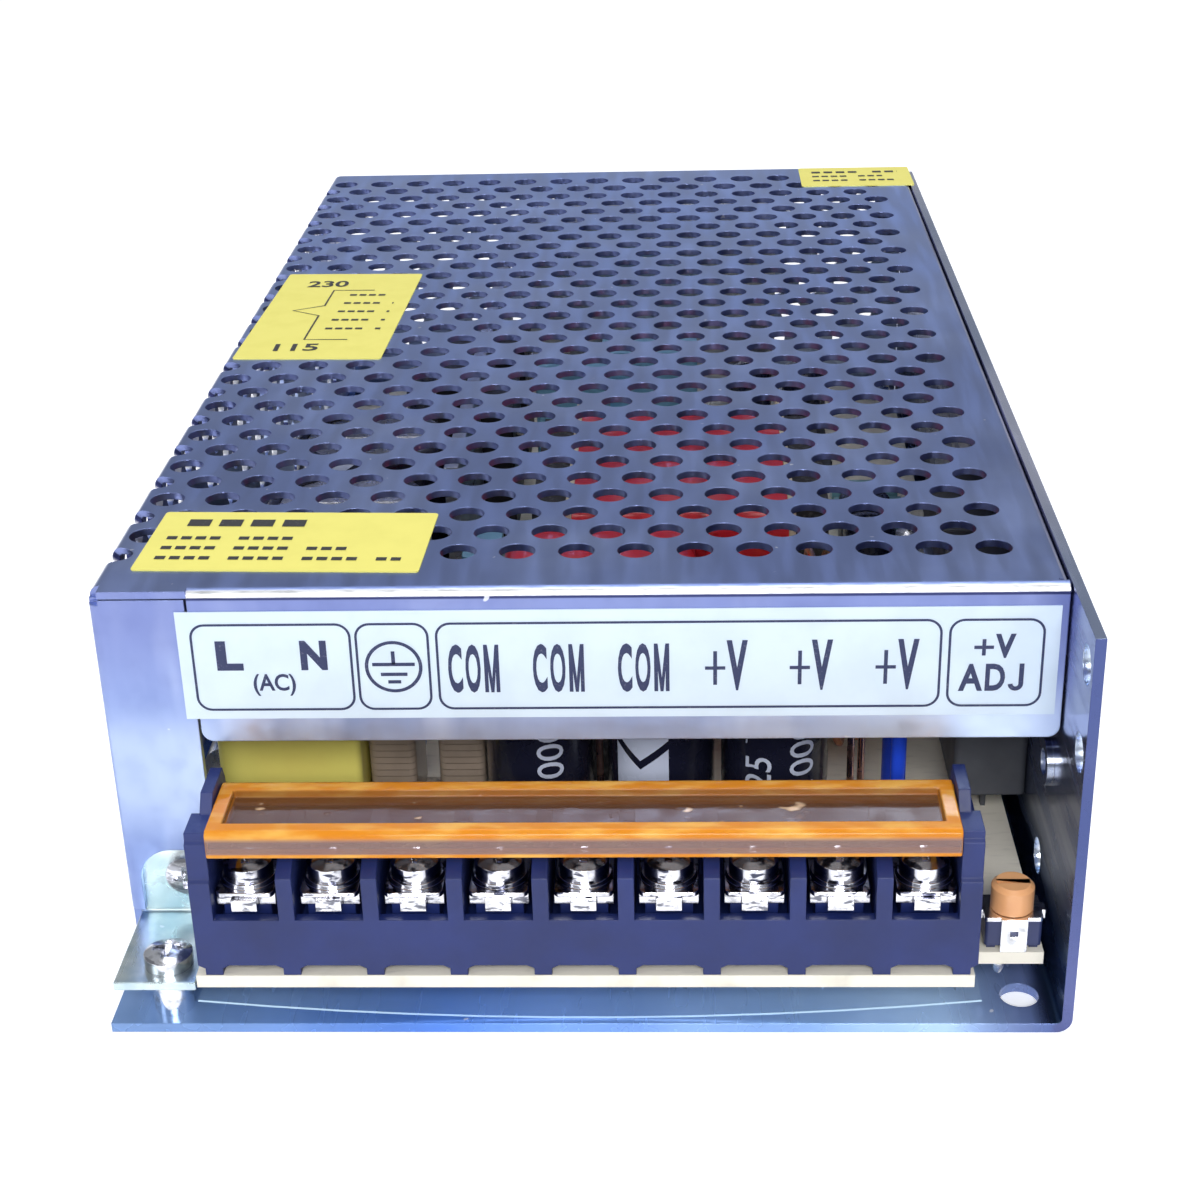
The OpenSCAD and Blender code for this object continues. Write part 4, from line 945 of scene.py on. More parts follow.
def tilted(flat: np.ndarray, degrees: float) -> np.ndarray:
    """Flat points, n by 2, turned about the origin by some degrees."""
    angle = math.radians(degrees)
    return flat @ np.array([[math.cos(angle), math.sin(angle)], [-math.sin(angle), math.cos(angle)]])


def softened(node: str, name: str, width: float, segments: int = 2) -> bpy.types.Object:
    """A copy of a solid with its sharp edges rounded.

    Args:
        node: the solid that is copied.
        name: name of the new piece.
        width: width of the rounding in metres.
        segments: steps across the rounding.

    Returns:
        The new piece, which stands for the solid.
    """
    source = bpy.data.objects[node]
    mesh = bpy.data.meshes.new(name)
    work = bmesh.new()
    work.from_mesh(source.data)
    work.to_mesh(mesh)
    work.free()
    mesh.materials.clear()
    for layer in list(mesh.uv_layers):
        mesh.uv_layers.remove(layer)
    clean(mesh, 40.0, 0.5)
    piece = bpy.data.objects.new(name, mesh)
    bpy.context.scene.collection.objects.link(piece)
    bevel = piece.modifiers.new("edges", "BEVEL")
    bevel.width = width
    bevel.segments = segments
    bevel.limit_method = "ANGLE"
    bevel.angle_limit = math.radians(35.0)
    bevel.harden_normals = True
    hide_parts(node)
    return piece


# ---------------------------------------------------------------- the object's sub-assemblies


class Side(Enum):
    """Which way a flat print faces."""

    FRONT = "front"
    TOP = "top"


@dataclass
class SubAssembly:
    """A group of pieces that rides on one body."""

    body: str = "supply"

    def keep(self, node: str, finish: Finish) -> None:
        """Gives a solid its finish.

        Args:
            node: the solid's name.
            finish: what it gets.
        """
        solid = bpy.data.objects[node]
        solid.data.materials.clear()
        solid.data.materials.append(finish.material())
        LOG.info("%s keeps its solid, %s", node, finish.name)

    def add(self, piece: bpy.types.Object, finish: Finish, slot: str) -> bpy.types.Object:
        """Gives a new piece its finish and body.

        Args:
            piece: the new piece.
            finish: what it gets.
            slot: not used.

        Returns:
            The same piece.
        """
        piece.data.materials.clear()
        piece.data.materials.append(finish.material())
        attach(piece, self.body)
        LOG.info("%s made, %s", piece.name, finish.name)
        return piece

    def soften(self, node: str, name: str, width: float, finish: Finish, slot: str,
               segments: int = 2) -> None:
        """Puts a copy with rounded edges in place of a solid.

        Args:
            node: the solid.
            name: name of the new piece.
            width: width of the rounding in metres.
            finish: what the piece gets.
            slot: not used.
            segments: steps across the rounding.
        """
        self.add(softened(node, name, width, segments), finish, slot)


ZINC = SheetMetal("plain_zinc", pale=(0.52, 0.60, 0.80), deep=(0.26, 0.34, 0.58), rough=0.26, drift=34.0)
CHASSIS = ChassisSheet("zinc_sheet", pale=(0.56, 0.60, 0.84), rough=0.24, drift=30.0)
COVER = CoverSheet("cover_sheet", pale=(0.46, 0.56, 0.86), deep=(0.26, 0.34, 0.62), rough=0.38, drift=55.0,
                   smear=(1.0, 1.0, 0.3))
BRACKET = SheetMetal("bracket_zinc", pale=(0.86, 0.94, 0.93), deep=(0.50, 0.64, 0.70), rough=0.3,
                     drift=150.0)
SCREW = BrightMetal("screw_steel", (0.84, 0.85, 0.9), 0.12, flank=0.55)
CHROME = BrightMetal("terminal_chrome", (0.84, 0.84, 0.9), 0.1, flank=0.95)
NICKEL = BrightMetal("nickel", (0.92, 0.93, 0.96), 0.12)
BLOCK = Moulded("block_plastic", (0.012, 0.024, 0.13), 0.42, 0.2, 1600.0, 0.12, 0.0002)
DARK = Moulded("dark_plastic", (0.012, 0.012, 0.016), 0.4)
GREY = Moulded("grey_sleeve", (0.09, 0.095, 0.11), 0.62, 0.25, 700.0, 0.3, 0.0003)
HEAT = SheetMetal("heatsink", pale=(0.8, 0.84, 0.92), deep=(0.6, 0.65, 0.75), rough=0.34, drift=60.0)
CREAM = Moulded("cream_plastic", (0.88, 0.8, 0.6), 0.5, 0.08)
TIN = BrightMetal("tinned_lead", (0.8, 0.8, 0.82), 0.25)


@dataclass
class Case(SubAssembly):
    """Chassis, perforated cover, their screws and the clear film."""

    def make(self) -> None:
        """Dresses the sheet metal and its fasteners."""
        self.keep("chassis", CHASSIS)
        self.keep("mesh_cover", COVER)
        self.keep("cover_screws", SCREW)
        self.keep("insulating_film", ClearFilm("clear_film"))


@dataclass
class Board(SubAssembly):
    """Circuit board, its posts and screws, and the earth bracket."""

    tail_radius: float = 0.8 * MM
    tail_drop: float = 1.6 * MM
    tail_spots: Sequence[Pair] = ((-1.5, 0.2), (1.5, 4.0), (-2.5, 4.0))

    def make(self) -> None:
        """Dresses the board and adds the solder tails under its front edge."""
        self.keep("circuit_board", BoardStock("board"))
        self.keep("standoffs", NICKEL)
        self.keep("board_screws", SCREW)
        self.soften("earth_bracket", "bracket_strip", 0.18 * MM, BRACKET, "zinc_sheet")
        self.keep("bracket_screws", SCREW)
        self.solder_tails()

    def solder_tails(self) -> None:
        """A small cone of solder under each of the adjuster's leads: radius grows as the root of height."""
        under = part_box("circuit_board")[0].z
        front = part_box("adjuster_knob")[0].y
        centre = middle_of("adjuster_knob")[0]
        share = np.linspace(0.0, 1.0, 7)[1:]
        profile = [(0.0, 0.0)]
        profile += [(self.tail_radius * math.sqrt(s), self.tail_drop * s ** 1.4) for s in share]
        profile += [(0.0, self.tail_drop)]
        surface = Surface()
        for x, y in self.tail_spots:
            surface.lathe((centre + x * MM, front + y * MM, under - self.tail_drop), profile, 20)
        self.add(surface.build("solder_tails"), TIN, "nickel")


@dataclass
class Terminals(SubAssembly):
    """Terminal block with its plates, washers and screws."""

    def make(self) -> None:
        """Dresses the block and its metal."""
        plating = BrightMetal("terminal_nickel", (0.88, 0.88, 0.92), 0.14, flank=0.8)
        self.soften("terminal_block", "terminal_housing", 0.16 * MM, BLOCK, "block_plastic")
        self.soften("terminal_plates", "terminal_strips", 0.1 * MM, plating, "nickel")
        self.soften("clamp_washers", "terminal_washers", 0.12 * MM, CHROME, "nickel")
        self.keep("terminal_screws", CHROME)


@dataclass
class TerminalFlap(SubAssembly):
    """The hinged clear cover over the terminals."""

    body: str = "terminal_flap"
    pin: float = 1.25 * MM
    rim: float = 1.7 * MM
    front_rim: float = 2.1 * MM
    rear_rim: float = 2.8 * MM
    lip_h: float = 3.4 * MM

    def make(self) -> None:
        """Rounds the cover's edges and gives it its amber finish, with the window inside its rims."""
        low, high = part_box("terminal_cover")
        side = self.pin + self.rim
        finish = AmberClear("amber_clear", window_x=(low.x + side, high.x - side),
                            window_y=(low.y + self.front_rim, high.y - self.rear_rim),
                            face_z=(high.z - self.lip_h, high.z))
        self.soften("terminal_cover", "amber_flap", 0.25 * MM, finish, "amber_clear", 3)


@dataclass
class Adjuster(SubAssembly):
    """The output voltage adjuster: body and sprung plate."""

    def make(self) -> None:
        """Dresses the adjuster's fixed pieces."""
        self.keep("adjuster_body", Moulded("adjuster_blue", (0.03, 0.04, 0.12), 0.4))
        self.soften("adjuster_bracket", "adjuster_plate", 0.08 * MM, NICKEL, "nickel")


@dataclass
class Knob(SubAssembly):
    """The adjuster's slotted knob."""

    body: str = "knob"

    def make(self) -> None:
        """Rounds the knob's edges and gives it its orange finish."""
        finish = Moulded("orange_plastic", (1.0, 0.43, 0.19), 0.33, 0.2, 900.0, 0.2, 0.0, 0.4)
        self.soften("adjuster_knob", "orange_knob", 0.2 * MM, finish, "orange_plastic", 3)


@dataclass
class Print(SubAssembly):
    """Ink on a label: words, frames and bars as thin raised shapes, gathered in one surface."""

    side: Side = Side.FRONT
    level: float = 0.0
    lift: float = 0.02 * MM
    depth: float = 0.03 * MM
    ink: Surface = field(default_factory=Surface)

    def place(self, flat: np.ndarray, raised: float = 0.0) -> np.ndarray:
        """Lays flat points (across, up, out) on the label's face, at its Y in front or its Z on top.

        Args:
            flat: points, n by 3, in metres.
            raised: further height, for a stroke that crosses another.

        Returns:
            The points in the frame.
        """
        across, up, out = flat.T
        height = out + self.lift + raised
        if self.side is Side.FRONT:
            return np.stack([across, self.level - height, up], axis=-1)
        return np.stack([across, up, self.level + height], axis=-1)

    def word(self, text: str, centre: Pair, size: Pair, weight: float = 0.02) -> None:
        """Adds a word, fitted into a box.

        Args:
            text: the word.
            centre: middle of the word, across and up, in metres.
            size: its width and height in metres.
            weight: how much the strokes are thickened.
        """
        points, triangles = self.letters(text, weight)
        flat = np.stack([centre[0] + points[:, 0] * size[0], centre[1] + points[:, 1] * size[1],
                         np.full(len(points), self.depth)], axis=-1)
        self.ink.add(self.place(flat), triangles)

    @staticmethod
    def letters(text: str, weight: float) -> Tuple[np.ndarray, np.ndarray]:
        """A word as a flat mesh in a box one unit wide and high, centred on the origin.

        Args:
            text: the word.
            weight: how much the strokes are thickened.

        Returns:
            The points, n by 3, and the triangles.
        """
        curve = bpy.data.curves.new("word", "FONT")
        curve.body = text
        curve.offset = weight
        curve.resolution_u = 4
        holder = bpy.data.objects.new("word", curve)
        bpy.context.scene.collection.objects.link(holder)
        mesh = bpy.data.meshes.new_from_object(holder.evaluated_get(bpy.context.evaluated_depsgraph_get()))
        mesh.calc_loop_triangles()
        points = np.zeros(len(mesh.vertices) * 3)
        triangles = np.zeros(len(mesh.loop_triangles) * 3, dtype=np.int64)
        mesh.vertices.foreach_get("co", points)
        mesh.loop_triangles.foreach_get("vertices", triangles)
        points = points.reshape(-1, 3)
        bpy.data.objects.remove(holder)
        bpy.data.meshes.remove(mesh)
        low, high = points.min(0), points.max(0)
        return (points - (low + high) / 2) / np.maximum(high - low, 1e-9), triangles.reshape(-1, 3)

    def outline(self, path: np.ndarray, width: float, closed: bool = False, raised: float = 0.0) -> None:
        """Adds a line of even width along a flat path: each point is moved half the width to each side.

        Args:
            path: the line's middle, n by 2, in metres.
            width: width of the line.
            closed: whether the line joins its own start.
            raised: further height, where the line crosses another.
        """
        ahead, behind = np.roll(path, -1, axis=0), np.roll(path, 1, axis=0)
        if not closed:
            ahead[-1], behind[0] = path[-1], path[0]
        run = ahead - behind
        run /= np.linalg.norm(run, axis=1, keepdims=True)
        normal = np.stack([-run[:, 1], run[:, 0]], axis=-1)
        rows = [np.concatenate([path + s * normal * width / 2, np.full((len(path), 1), self.depth)], axis=1)
                for s in (-1.0, 1.0)]
        self.ink.grid(np.stack([self.place(row, raised) for row in rows], axis=1), round_u=closed)

    @staticmethod
    def arc(centre: Pair, radius: float, start: float, end: float, steps: int) -> np.ndarray:
        """Points on a circle: (x + r cos t, y + r sin t) for even steps of t.

        Args:
            centre: middle of the circle.
            radius: its radius.
            start: first angle in radians.
            end: last angle in radians.
            steps: number of points.

        Returns:
            The points, steps by 2.
        """
        t = np.linspace(start, end, steps)
        return np.stack([centre[0] + radius * np.cos(t), centre[1] + radius * np.sin(t)], axis=-1)

    def frame(self, low: Pair, high: Pair, radius: float) -> np.ndarray:
        """A rectangle with round corners as a closed path: four quarter arcs in turn.

        Args:
            low: lower left corner.
            high: upper right corner.
            radius: radius of the corners.

        Returns:
            The path, n by 2.
        """
        (x0, z0), (x1, z1) = (low[0] + radius, low[1] + radius), (high[0] - radius, high[1] - radius)
        quarter = np.pi / 2
        return np.concatenate([self.arc(corner, radius, n * quarter, (n + 1) * quarter, 9)
                               for n, corner in enumerate(((x1, z1), (x0, z1), (x0, z0), (x1, z0)))])


@dataclass
class TerminalPrint(Print):
    """The terminals' letters on the strip above them; shares run along the strip from 0 to 1."""

    line: float = 0.28 * MM
    step: float = 0.006 * MM
    corner: float = 1.6 * MM
    frames: Sequence[Pair] = ((0.016, 0.198), (0.205, 0.287), (0.297, 0.867), (0.877, 0.982))
    common_at: Sequence[float] = (0.338, 0.435, 0.532)
    plus_at: Sequence[float] = (0.626, 0.722, 0.819)
    adjust_at: float = 0.928
    earth_at: float = 0.246

    def make(self) -> None:
        """Prints four framed groups: mains, earth, outputs and adjuster."""
        self.keep("terminal_label", LabelStock("label_white"))
        low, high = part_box("terminal_label")
        self.level = low.y
        bottom, top = low.z + 1.2 * MM, high.z - 1.6 * MM
        middle = (bottom + top) / 2

        def spot(share: float, across: float = 0.0, up: float = 0.0) -> Pair:
            """A place on the strip: a share of its length, then millimetres across and up."""
            return low.x + share * (high.x - low.x) + across * MM, middle + up * MM

        def box(wide: float, tall: float) -> Pair:
            """A size given in millimetres."""
            return wide * MM, tall * MM

        for left, right in self.frames:
            path = self.frame((spot(left)[0], bottom), (spot(right)[0], top), self.corner)
            self.outline(path, self.line, closed=True)
        for text, share in (("L", 0.058), ("N", 0.155)):
            self.word(text, spot(share, up=1.5), box(3.0, 3.7), 0.05)
        self.word("(AC)", spot(0.107, up=-2.2), box(4.8, 2.8))
        for share in self.common_at:
            for letter, shift, wide in (("C", -2.1, 1.6), ("O", -0.1, 1.7)):
                self.word(letter, spot(share, shift, -0.3), box(wide, 6.1), 0.03)
            self.narrow_m(spot(share, 2.0, -0.3), box(1.7, 6.0))
        for share in self.plus_at:
            self.plus_v(spot(share, up=-0.1), box(4.7, 6.3))
        self.plus_v(spot(self.adjust_at, up=2.1), box(4.5, 3.0))
        for letter, shift, wide in (("A", -2.5, 2.7), ("D", 0.2, 2.2)):
            self.word(letter, spot(self.adjust_at, shift, -1.8), box(wide, 3.4), 0.03)
        self.hooked_j(spot(self.adjust_at, 2.5, -1.8), box(1.7, 3.4))
        self.earth_sign(spot(self.earth_at))
        self.add(self.ink.build("terminal_marks"), Ink("navy_ink"), "label_white")

    def narrow_m(self, centre: Pair, size: Pair) -> None:
        """A narrow M of four strokes: two upright legs and two slanted ones that meet at its foot.

        Args:
            centre: middle of the letter.
            size: its width and height in metres.
        """
        stroke = self.line * 1.5
        reach, half = size[0] / 2 - stroke / 2, size[1] / 2
        x, z = centre
        for way in (-1.0, 1.0):
            leg = np.array([[x + way * reach, z - half], [x + way * reach, z + half]])
            slant = np.array([[x + way * reach * 0.9, z + half - stroke * 0.4], [x, z - half]])
            self.outline(leg, stroke)
            self.outline(slant, stroke * 0.8, raised=self.step * (2.0 + way))

    def hooked_j(self, centre: Pair, size: Pair) -> None:
        """A J as one stroke: a stem that turns into a half circle at its foot.

        Args:
            centre: middle of the letter.
            size: its width and height in metres.
        """
        stroke = self.line * 1.9
        radius = (size[0] - stroke) / 2
        foot = centre[1] - size[1] / 2 + stroke / 2 + radius
        hook = self.arc((centre[0], foot), radius, 0.0, -np.pi, 13)
        self.outline(np.concatenate([[[centre[0] + radius, centre[1] + size[1] / 2]], hook]), stroke)

    def plus_v(self, centre: Pair, size: Pair) -> None:
        """A plus sign of two thin bars beside a narrow V.

        Args:
            centre: middle of the sign.
            size: its width and height in metres.
        """
        x, z = centre[0] - size[0] * 0.27, centre[1] - size[1] * 0.05
        w, h = size[0] * 0.24, min(size[1] * 0.34, size[0] * 0.45)
        for index, bar in enumerate((((x - w, z), (x + w, z)), ((x, z - h), (x, z + h)))):
            self.outline(np.array(bar), self.line * 1.5, raised=index * self.step)
        self.word("V", (centre[0] + size[0] * 0.25, centre[1]), (size[0] * 0.5, size[1]), 0.04)

    def earth_sign(self, centre: Pair) -> None:
        """The earth sign: a stem on three bars of falling length, in a circle.

        Args:
            centre: middle of the sign.
        """
        steps = 48
        ring = self.arc(centre, 3.05 * MM, 0.0, 2.0 * np.pi * (1.0 - 1.0 / steps), steps)
        self.outline(ring, self.line * 1.4, closed=True)
        bars = [((0.0, 1.95), (0.0, 0.3))]
        bars += [((-half, drop), (half, drop)) for half, drop in ((2.4, 0.3), (1.5, -0.95), (0.73, -1.9))]
        for bar in bars:
            self.outline(np.array(bar) * MM + np.array(centre), self.line * 1.5)


@dataclass
class StickerPrint(Print):
    """The yellow stickers on the cover with plain generic print."""

    side: Side = Side.TOP
    tilt: float = -2.0
    line: float = 0.3 * MM

    def make(self) -> None:
        """Dresses the stickers and prints bars and frames that carry no words."""
        stock = LabelStock("label_yellow", (0.90, 0.83, 0.20))
        for node in ("front_sticker", "side_sticker", "rear_sticker"):
            self.keep(node, stock)
        self.bars("front_sticker", self.tilt, [(-13.0, 6.0, 5.0, 2.0), (-14.5, 2.0, 0.6, 0.9),
                                               (-14.5, 7.5, -2.2, 0.9), (-14.5, 14.0, -5.0, 0.9)])
        self.selector_sign("side_sticker")
        self.bars("rear_sticker", 0.0, [(-8.0, 8.0, 3.2, 1.2), (-8.0, 5.0, 0.2, 0.9),
                                        (-8.0, 7.0, -2.8, 0.9)])
        self.add(self.ink.build("sticker_marks"), Ink("black_ink", (0.03, 0.03, 0.035)), "label_yellow")

    def bars(self, node: str, tilt: float, rows: Sequence[Tuple[float, float, float, float]]) -> None:
        """Adds rows of short dashes with a gap after every fourth, like lines of small print.

        Args:
            node: the sticker.
            tilt: how far the sticker is turned, in degrees.
            rows: for each row its start, end, height and thickness in millimetres, from the middle.
        """
        self.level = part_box(node)[1].z
        centre = middle_of(node)[:2]
        for start, end, up, thick in rows:
            for index, place in enumerate(np.arange(start, end, thick * 1.9)):
                if index % 5 < 4:
                    dash = np.array([[place, up], [min(place + thick * 1.35, end), up]]) * MM
                    self.outline(tilted(dash, tilt) + centre, thick * MM)

    def selector_sign(self, node: str) -> None:
        """An open arrow that points to the selector, rows of dashes and the two voltages.

        Args:
            node: the sticker.
        """
        self.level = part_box(node)[1].z
        centre = middle_of(node)
        arrow = np.array([[4.5, 12.0], [-2.0, 12.0], [-2.0, 4.0], [-6.5, 1.5], [-2.0, -1.0], [-2.0, -12.5],
                          [4.5, -12.5]]) * MM
        self.outline(tilted(arrow, self.tilt) + centre[:2], self.line)
        self.bars(node, self.tilt, [(1.0 - 0.2 * n, 8.6, 9.5 - 4.2 * n, 0.8) for n in range(5)])
        for text, up in (("230", 15.5), ("115", -16.0)):
            self.word(text, (centre[0] - 3.0 * MM, centre[1] + up * MM), (6.5 * MM, 3.2 * MM))


@dataclass
class Cans(SubAssembly):
    """A group of capacitor cans: sleeve, crimp, rolled shoulder and scored top."""

    node: str = "output_capacitors"
    name: str = "output"
    spots: Sequence[Pair] = ()
    diameter: float = 13.0 * MM
    height: float = 25.0 * MM
    facing: Sequence[float] = (90.0, -112.0, 60.0)
    marks: Sequence[Tuple[int, float, str]] = ()
    shoulder: float = 0.9 * MM
    foot_round: float = 0.3 * MM
    crimp: float = 0.35 * MM
    crimp_z: Sequence[float] = (1.7 * MM, 2.4 * MM, 2.8 * MM, 3.5 * MM)
    roll: float = 1.8 * MM
    sunk: float = 0.25 * MM
    mark_high: float = 3.3 * MM
    mark_wide: float = 2.2 * MM

    def sleeve(self) -> List[Pair]:
        """The sleeve's profile: rounded foot, crimp, straight side, quarter-round shoulder and sunk top."""
        r, h, inner = self.diameter / 2, self.height, self.diameter / 2 - self.crimp
        z = self.crimp_z
        profile = [(0.0, 0.0), (r - self.foot_round, 0.0), (r, self.foot_round)]
        profile += [(r, z[0]), (inner, z[1]), (inner, z[2]), (r, z[3]), (r, h - self.shoulder)]
        profile += [(r + self.shoulder * (math.cos(a) - 1.0), h + self.shoulder * (math.sin(a) - 1.0))
                    for a in np.linspace(0.0, np.pi / 2, 7)[1:]]
        return profile + [(r - self.roll, h), (r - self.roll, h - self.sunk), (0.0, h - self.sunk)]

    def make(self) -> None:
        """Builds the sleeves and the bare tops of all cans of the group, then the marks on them."""
        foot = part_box(self.node)[0].z
        sleeves, tops = Surface(), Surface()
        disc = self.diameter / 2 - self.roll - 0.15 * MM
        thick = 0.14 * MM
        for (x, y), facing in zip(self.spots, self.facing):
            sleeves.lathe((x, y, foot), self.sleeve(), 72, math.radians(facing) + 0.5 * math.pi)
            tops.lathe((x, y, foot + self.height - self.sunk - 0.1 * MM),
                       [(0.0, 0.0), (disc, 0.0), (disc, thick), (0.0, thick)], 48)
            for angle in (0.0, np.pi / 3, 2 * np.pi / 3):
                self.score(tops, (x, y, foot + self.height - 0.2 * MM), 0.31 * self.diameter, angle)
        piece = self.add(sleeves.build(self.name + "_can_sleeves"), CanSleeve("can_sleeve"), "can_sleeve")
        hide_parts(self.node)
        self.add(tops.build(self.name + "_can_tops"), TIN, "nickel")
        if self.marks:
            self.print_marks(foot)

    def print_marks(self, foot: float) -> None:
        """Prints upright numbers on the cans: reading direction runs up, and height runs round the can.

        Args:
            foot: height of the cans' feet.
        """
        surface = Surface()
        reach = self.diameter / 2 + 0.04 * MM
        for index, angle, text in self.marks:
            x, y = self.spots[index]
            flat, triangles = Print.letters(text, 0.005)
            turn = math.radians(angle) - flat[:, 1] * self.mark_high / reach
            up = foot + self.height * 0.62 + flat[:, 0] * len(text) * self.mark_wide
            points = np.stack([x + reach * np.cos(turn), y + reach * np.sin(turn), up], axis=-1)
            surface.add(points, triangles)
        self.add(surface.build(self.name + "_can_marks"), Ink("pale_ink", (0.6, 0.65, 0.8)), "can_sleeve")

    def score(self, surface: Surface, centre: Point, reach: float, angle: float) -> None:
        """Adds one raised score line across a can's top: a low ridge with a round section.

        Args:
            surface: what the ridge is added to.
            centre: middle of the top.
            reach: half the ridge's length.
            angle: its direction in radians.
        """
        along = np.linspace(-reach, reach, 8)
        path = np.stack([centre[0] + along * math.cos(angle), centre[1] + along * math.sin(angle),
                         np.full(8, centre[2])], axis=-1)
        surface.tube(path, 0.12 * MM, 6)


@dataclass
class Choke(SubAssembly):
    """The output choke: a ring wound with heavy copper wire."""

    turns: int = 30
    wire: float = 1.05 * MM
    steps: int = 26
    ring: float = 5.0 * MM
    layers: int = 2
    layer_step: float = 0.92
    layer_shift: float = 1.3
    squareness: float = 0.55

    def make(self) -> None:
        """Winds the wire: it follows a superellipse round the core's section as it goes round the ring."""
        core_low, core_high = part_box("choke_core")
        centre = middle_of("choke_winding")
        outer, half = (core_high.x - core_low.x) / 2, (core_high.y - core_low.y) / 2
        surface = Surface()
        for layer in range(self.layers):
            reach = self.wire / 2 + layer * self.wire * self.layer_step
            t = np.linspace(0.0, 2.0 * np.pi, self.turns * self.steps, endpoint=False)
            c, s = (wave(t * self.turns + layer * self.layer_shift) for wave in (np.cos, np.sin))
            radial = (self.ring / 2 + reach) * np.sign(c) * np.abs(c) ** self.squareness
            axial = (half + reach) * np.sign(s) * np.abs(s) ** self.squareness
            radius = outer - self.ring / 2 + radial
            path = centre + np.stack([radius * np.cos(t), axial, radius * np.sin(t)], axis=-1)
            surface.tube(path, self.wire / 2, 8, closed=True)
        piece = self.add(surface.build("choke_wire", 80.0), Enamelled("copper_wire"), "copper_wire")
        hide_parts("choke_winding")
        self.keep("choke_core", Moulded("core_paint", (0.7, 0.66, 0.2), 0.5))


@dataclass
class Magnetics(SubAssembly):
    """Main transformer, driver transformer and mains filter."""

    def make(self) -> None:
        """Dresses cores, bobbins and windings."""
        ferrite = Ferrite("ferrite")
        for node in ("transformer_core", "driver_core"):
            self.keep(node, ferrite)
        self.keep("filter_core", Ferrite("filter_ferrite", (0.5, 0.44, 0.38)))
        self.keep("transformer_bobbin", CREAM)
        self.keep("transformer_winding", WoundTape("red_tape", (0.95, 0.03, 0.05), axis=0, pitch=0.0145))
        self.keep("driver_winding", WoundTape("red_tape_driver", (0.95, 0.03, 0.05), axis=1, pitch=0.0067))
        self.keep("filter_winding", WoundTape("filter_wire", (0.42, 0.33, 0.26), axis=2, pitch=0.0009))


@dataclass
class SmallParts(SubAssembly):
    """The other parts on the board, with their heatsinks."""

    def make(self) -> None:
        """Dresses each remaining part."""
        finishes: Dict[str, Finish] = {
            "x_capacitor": Moulded("yellow_plastic", (1.0, 0.85, 0.2), 0.4, 0.06),
            "y_capacitors": Moulded("blue_ceramic", (0.06, 0.2, 0.6), 0.35, coat=0.4),
            "thermistor": Moulded("green_disc", (0.03, 0.09, 0.05), 0.4),
            "fuse_tube": GlassTube("fuse_glass"),
            "fuse_clips": TIN,
            "bridge_rectifier": DARK,
            "inner_heatsink": HEAT,
            "rear_heatsink": HEAT,
            "switching_transistors": DARK,
            "output_rectifiers": GREY,
            "device_clamp": ZINC,
            "device_screws": SCREW,
            "control_chips": DARK,
            "film_capacitors": Moulded("film_blue", (0.25, 0.55, 0.8), 0.4, 0.1, coat=0.3),
            "small_capacitors": Moulded("small_can", (0.015, 0.02, 0.05), 0.28, coat=0.4),
            "power_resistors": Moulded("resistor_body", (0.2, 0.42, 0.5), 0.35, coat=0.3),
            "sense_wire": Moulded("blue_wire", (0.02, 0.08, 0.75), 0.35, coat=0.3),
            "tall_leads": Enamelled("lead_copper", (0.85, 0.5, 0.4)),
            "selector_body": DARK,
        }
        for node, finish in finishes.items():
            self.keep(node, finish)


@dataclass
class Slider(SubAssembly):
    """The mains voltage selector's slider."""

    body: str = "slider"

    def make(self) -> None:
        """Dresses the slider."""
        self.keep("selector_slider", Moulded("red_plastic", (0.7, 0.03, 0.03), 0.35, coat=0.3))


# ---------------------------------------------------------------- floor, lamps and camera


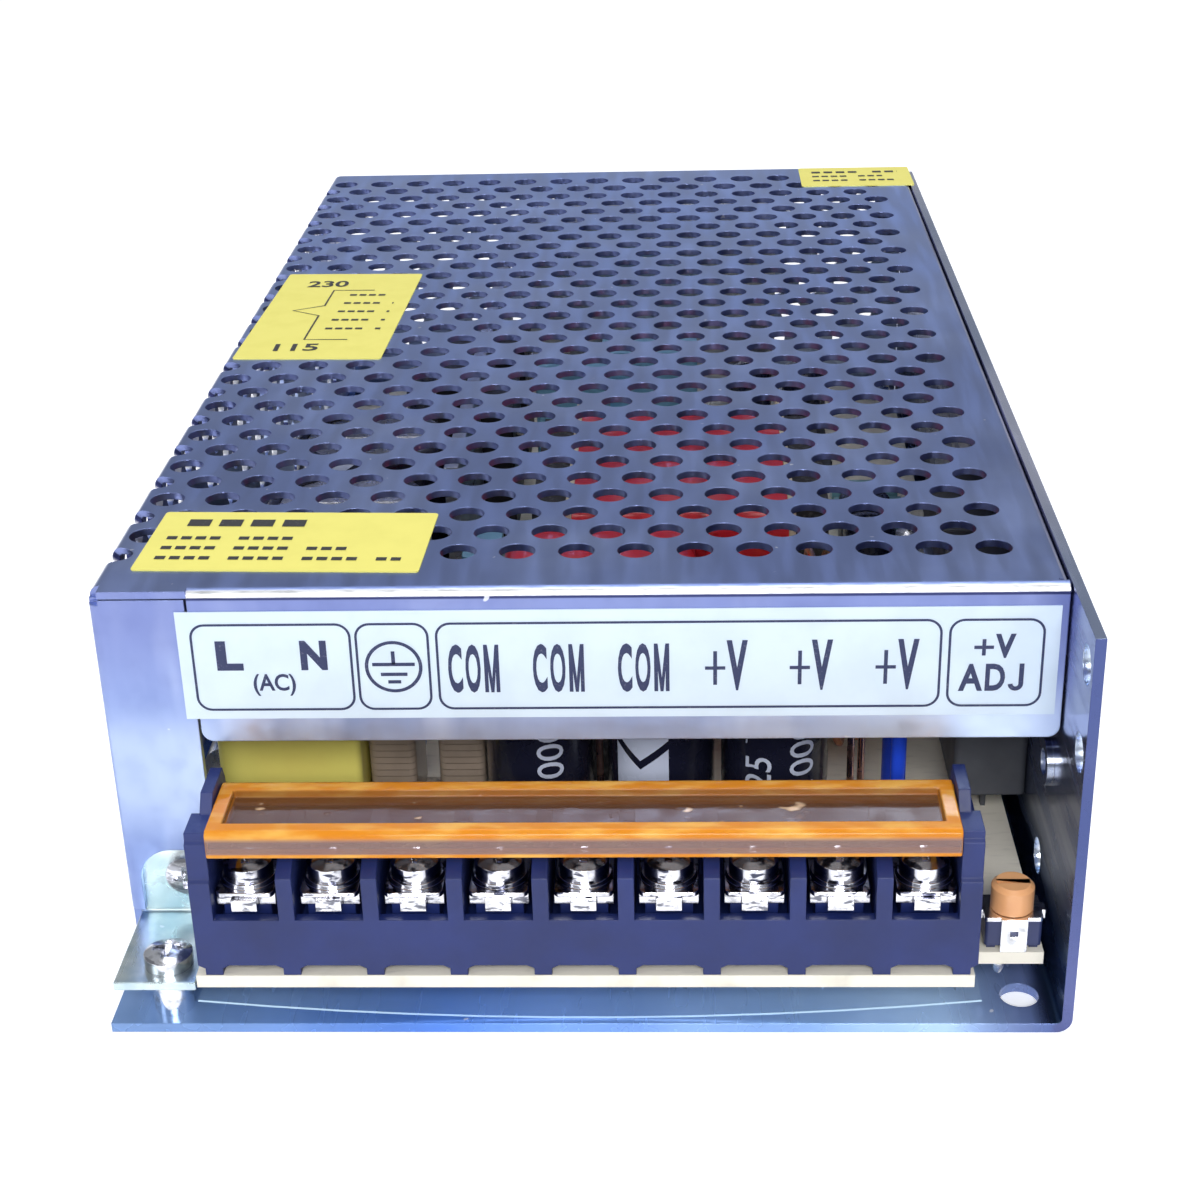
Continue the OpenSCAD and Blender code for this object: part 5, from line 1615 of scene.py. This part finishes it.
@dataclass
class Studio:
    """Plain pale floor, soft lamps and the camera."""

    floor_half: float = 30.0
    floor_rim: float = 2.4
    focal: float = 61.94
    pitch: float = 0.4475
    yaw: float = -0.0447
    roll: float = -0.0272
    eye: Point = (0.011348, -0.291547, 0.146944)
    air: Colour = (0.93, 0.96, 1.0)
    air_strength: float = 0.36

    def camera(self) -> None:
        """Places the camera: its axes come from pitch, yaw and roll."""
        level = math.cos(self.pitch)
        forward = np.array([math.sin(self.yaw) * level, math.cos(self.yaw) * level, -math.sin(self.pitch)])
        right = np.array([math.cos(self.yaw), -math.sin(self.yaw), 0.0])
        up = np.cross(right, forward)
        c, s = math.cos(self.roll), math.sin(self.roll)
        columns = np.stack([c * right + s * up, -s * right + c * up, -forward], axis=1)
        data = bpy.data.cameras.new("camera")
        data.lens = self.focal
        data.sensor_width = 36.0
        data.clip_start = 0.01
        data.clip_end = 200.0
        holder = bpy.data.objects.new("camera", data)
        turn = Matrix([list(row) for row in columns]).to_4x4()
        holder.matrix_world = Matrix.Translation(self.eye) @ turn
        bpy.context.scene.collection.objects.link(holder)
        bpy.context.scene.camera = holder

    def floor(self) -> None:
        """Lays the floor under the object: a flat square whose outermost band rises to a low far rim."""
        steps = self.floor_half * np.array([-1.0, -0.95, 0.95, 1.0])
        x, y = np.meshgrid(steps, steps, indexing="ij")
        rim = np.where(np.maximum(np.abs(x), np.abs(y)) > 0.97 * self.floor_half, self.floor_rim, 0.0)
        surface = Surface()
        surface.grid(np.stack([x, y, rim], axis=-1))
        plane = surface.build("floor")
        plane.data.materials.append(Backdrop("floor_paint").material())

    def lamp(self, name: str, place: Point, target: Point, size: Pair, power: float) -> None:
        """Adds one soft rectangular lamp.

        Args:
            name: name of the lamp.
            place: where it stands.
            target: what it points at.
            size: its width and height in metres.
            power: its power in watts.
        """
        data = bpy.data.lights.new(name, "AREA")
        data.shape = "RECTANGLE"
        data.size, data.size_y = size
        data.energy = power
        holder = bpy.data.objects.new(name, data)
        turn = (Vector(target) - Vector(place)).to_track_quat("-Z", "Y")
        holder.matrix_world = Matrix.Translation(place) @ turn.to_matrix().to_4x4()
        bpy.context.scene.collection.objects.link(holder)

    def world(self) -> None:
        """Even pale surroundings."""
        world = bpy.data.worlds.new("surroundings")
        world.use_nodes = True
        background = world.node_tree.nodes["Background"]
        background.inputs["Color"].default_value = (*self.air, 1.0)
        background.inputs["Strength"].default_value = self.air_strength
        bpy.context.scene.world = world

    def make(self) -> None:
        """Sets up camera, floor, lamps and surroundings."""
        self.camera()
        self.floor()
        self.world()
        self.lamp("overhead", (0.1, 0.25, 1.2), (0.0, 0.0, 0.0), (0.8, 0.8), 6.0)
        self.lamp("front", (0.05, -0.95, 0.62), (0.0, -0.03, 0.02), (0.45, 0.35), 7.0)
        self.lamp("left", (-0.9, -0.6, 0.45), (0.0, -0.05, 0.02), (0.4, 0.6), 2.2)
        self.lamp("right", (0.9, -0.25, 0.5), (0.0, 0.0, 0.02), (0.4, 0.7), 1.1)
        bpy.context.scene.view_settings.view_transform = "Standard"


def main() -> None:
    logging.basicConfig(level=logging.INFO, format="%(name)s: %(message)s")
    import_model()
    Studio().make()
    output_spots = [(x * MM, -72.0 * MM) for x in (-6.3, 8.5, 22.3)]
    bulk_spots = [(-33.5 * MM, y * MM) for y in (-38.0, -14.0)]
    assemblies: List[SubAssembly] = [
        Case(), Board(), Terminals(), TerminalFlap(), Adjuster(), Knob(), TerminalPrint(), StickerPrint(),
        Cans(node="output_capacitors", name="output", spots=output_spots,
             marks=((0, -75.0, "1000"), (2, -110.0, "25 V"), (2, -62.0, "1000"))),
        Cans(node="bulk_capacitors", name="bulk", spots=bulk_spots, diameter=22.0 * MM, height=32.0 * MM),
        Choke(), Magnetics(), SmallParts(), Slider(),
    ]
    for assembly in assemblies:
        assembly.make()
        LOG.info("%s ready", type(assembly).__name__)


if __name__ == "__main__":
    main()
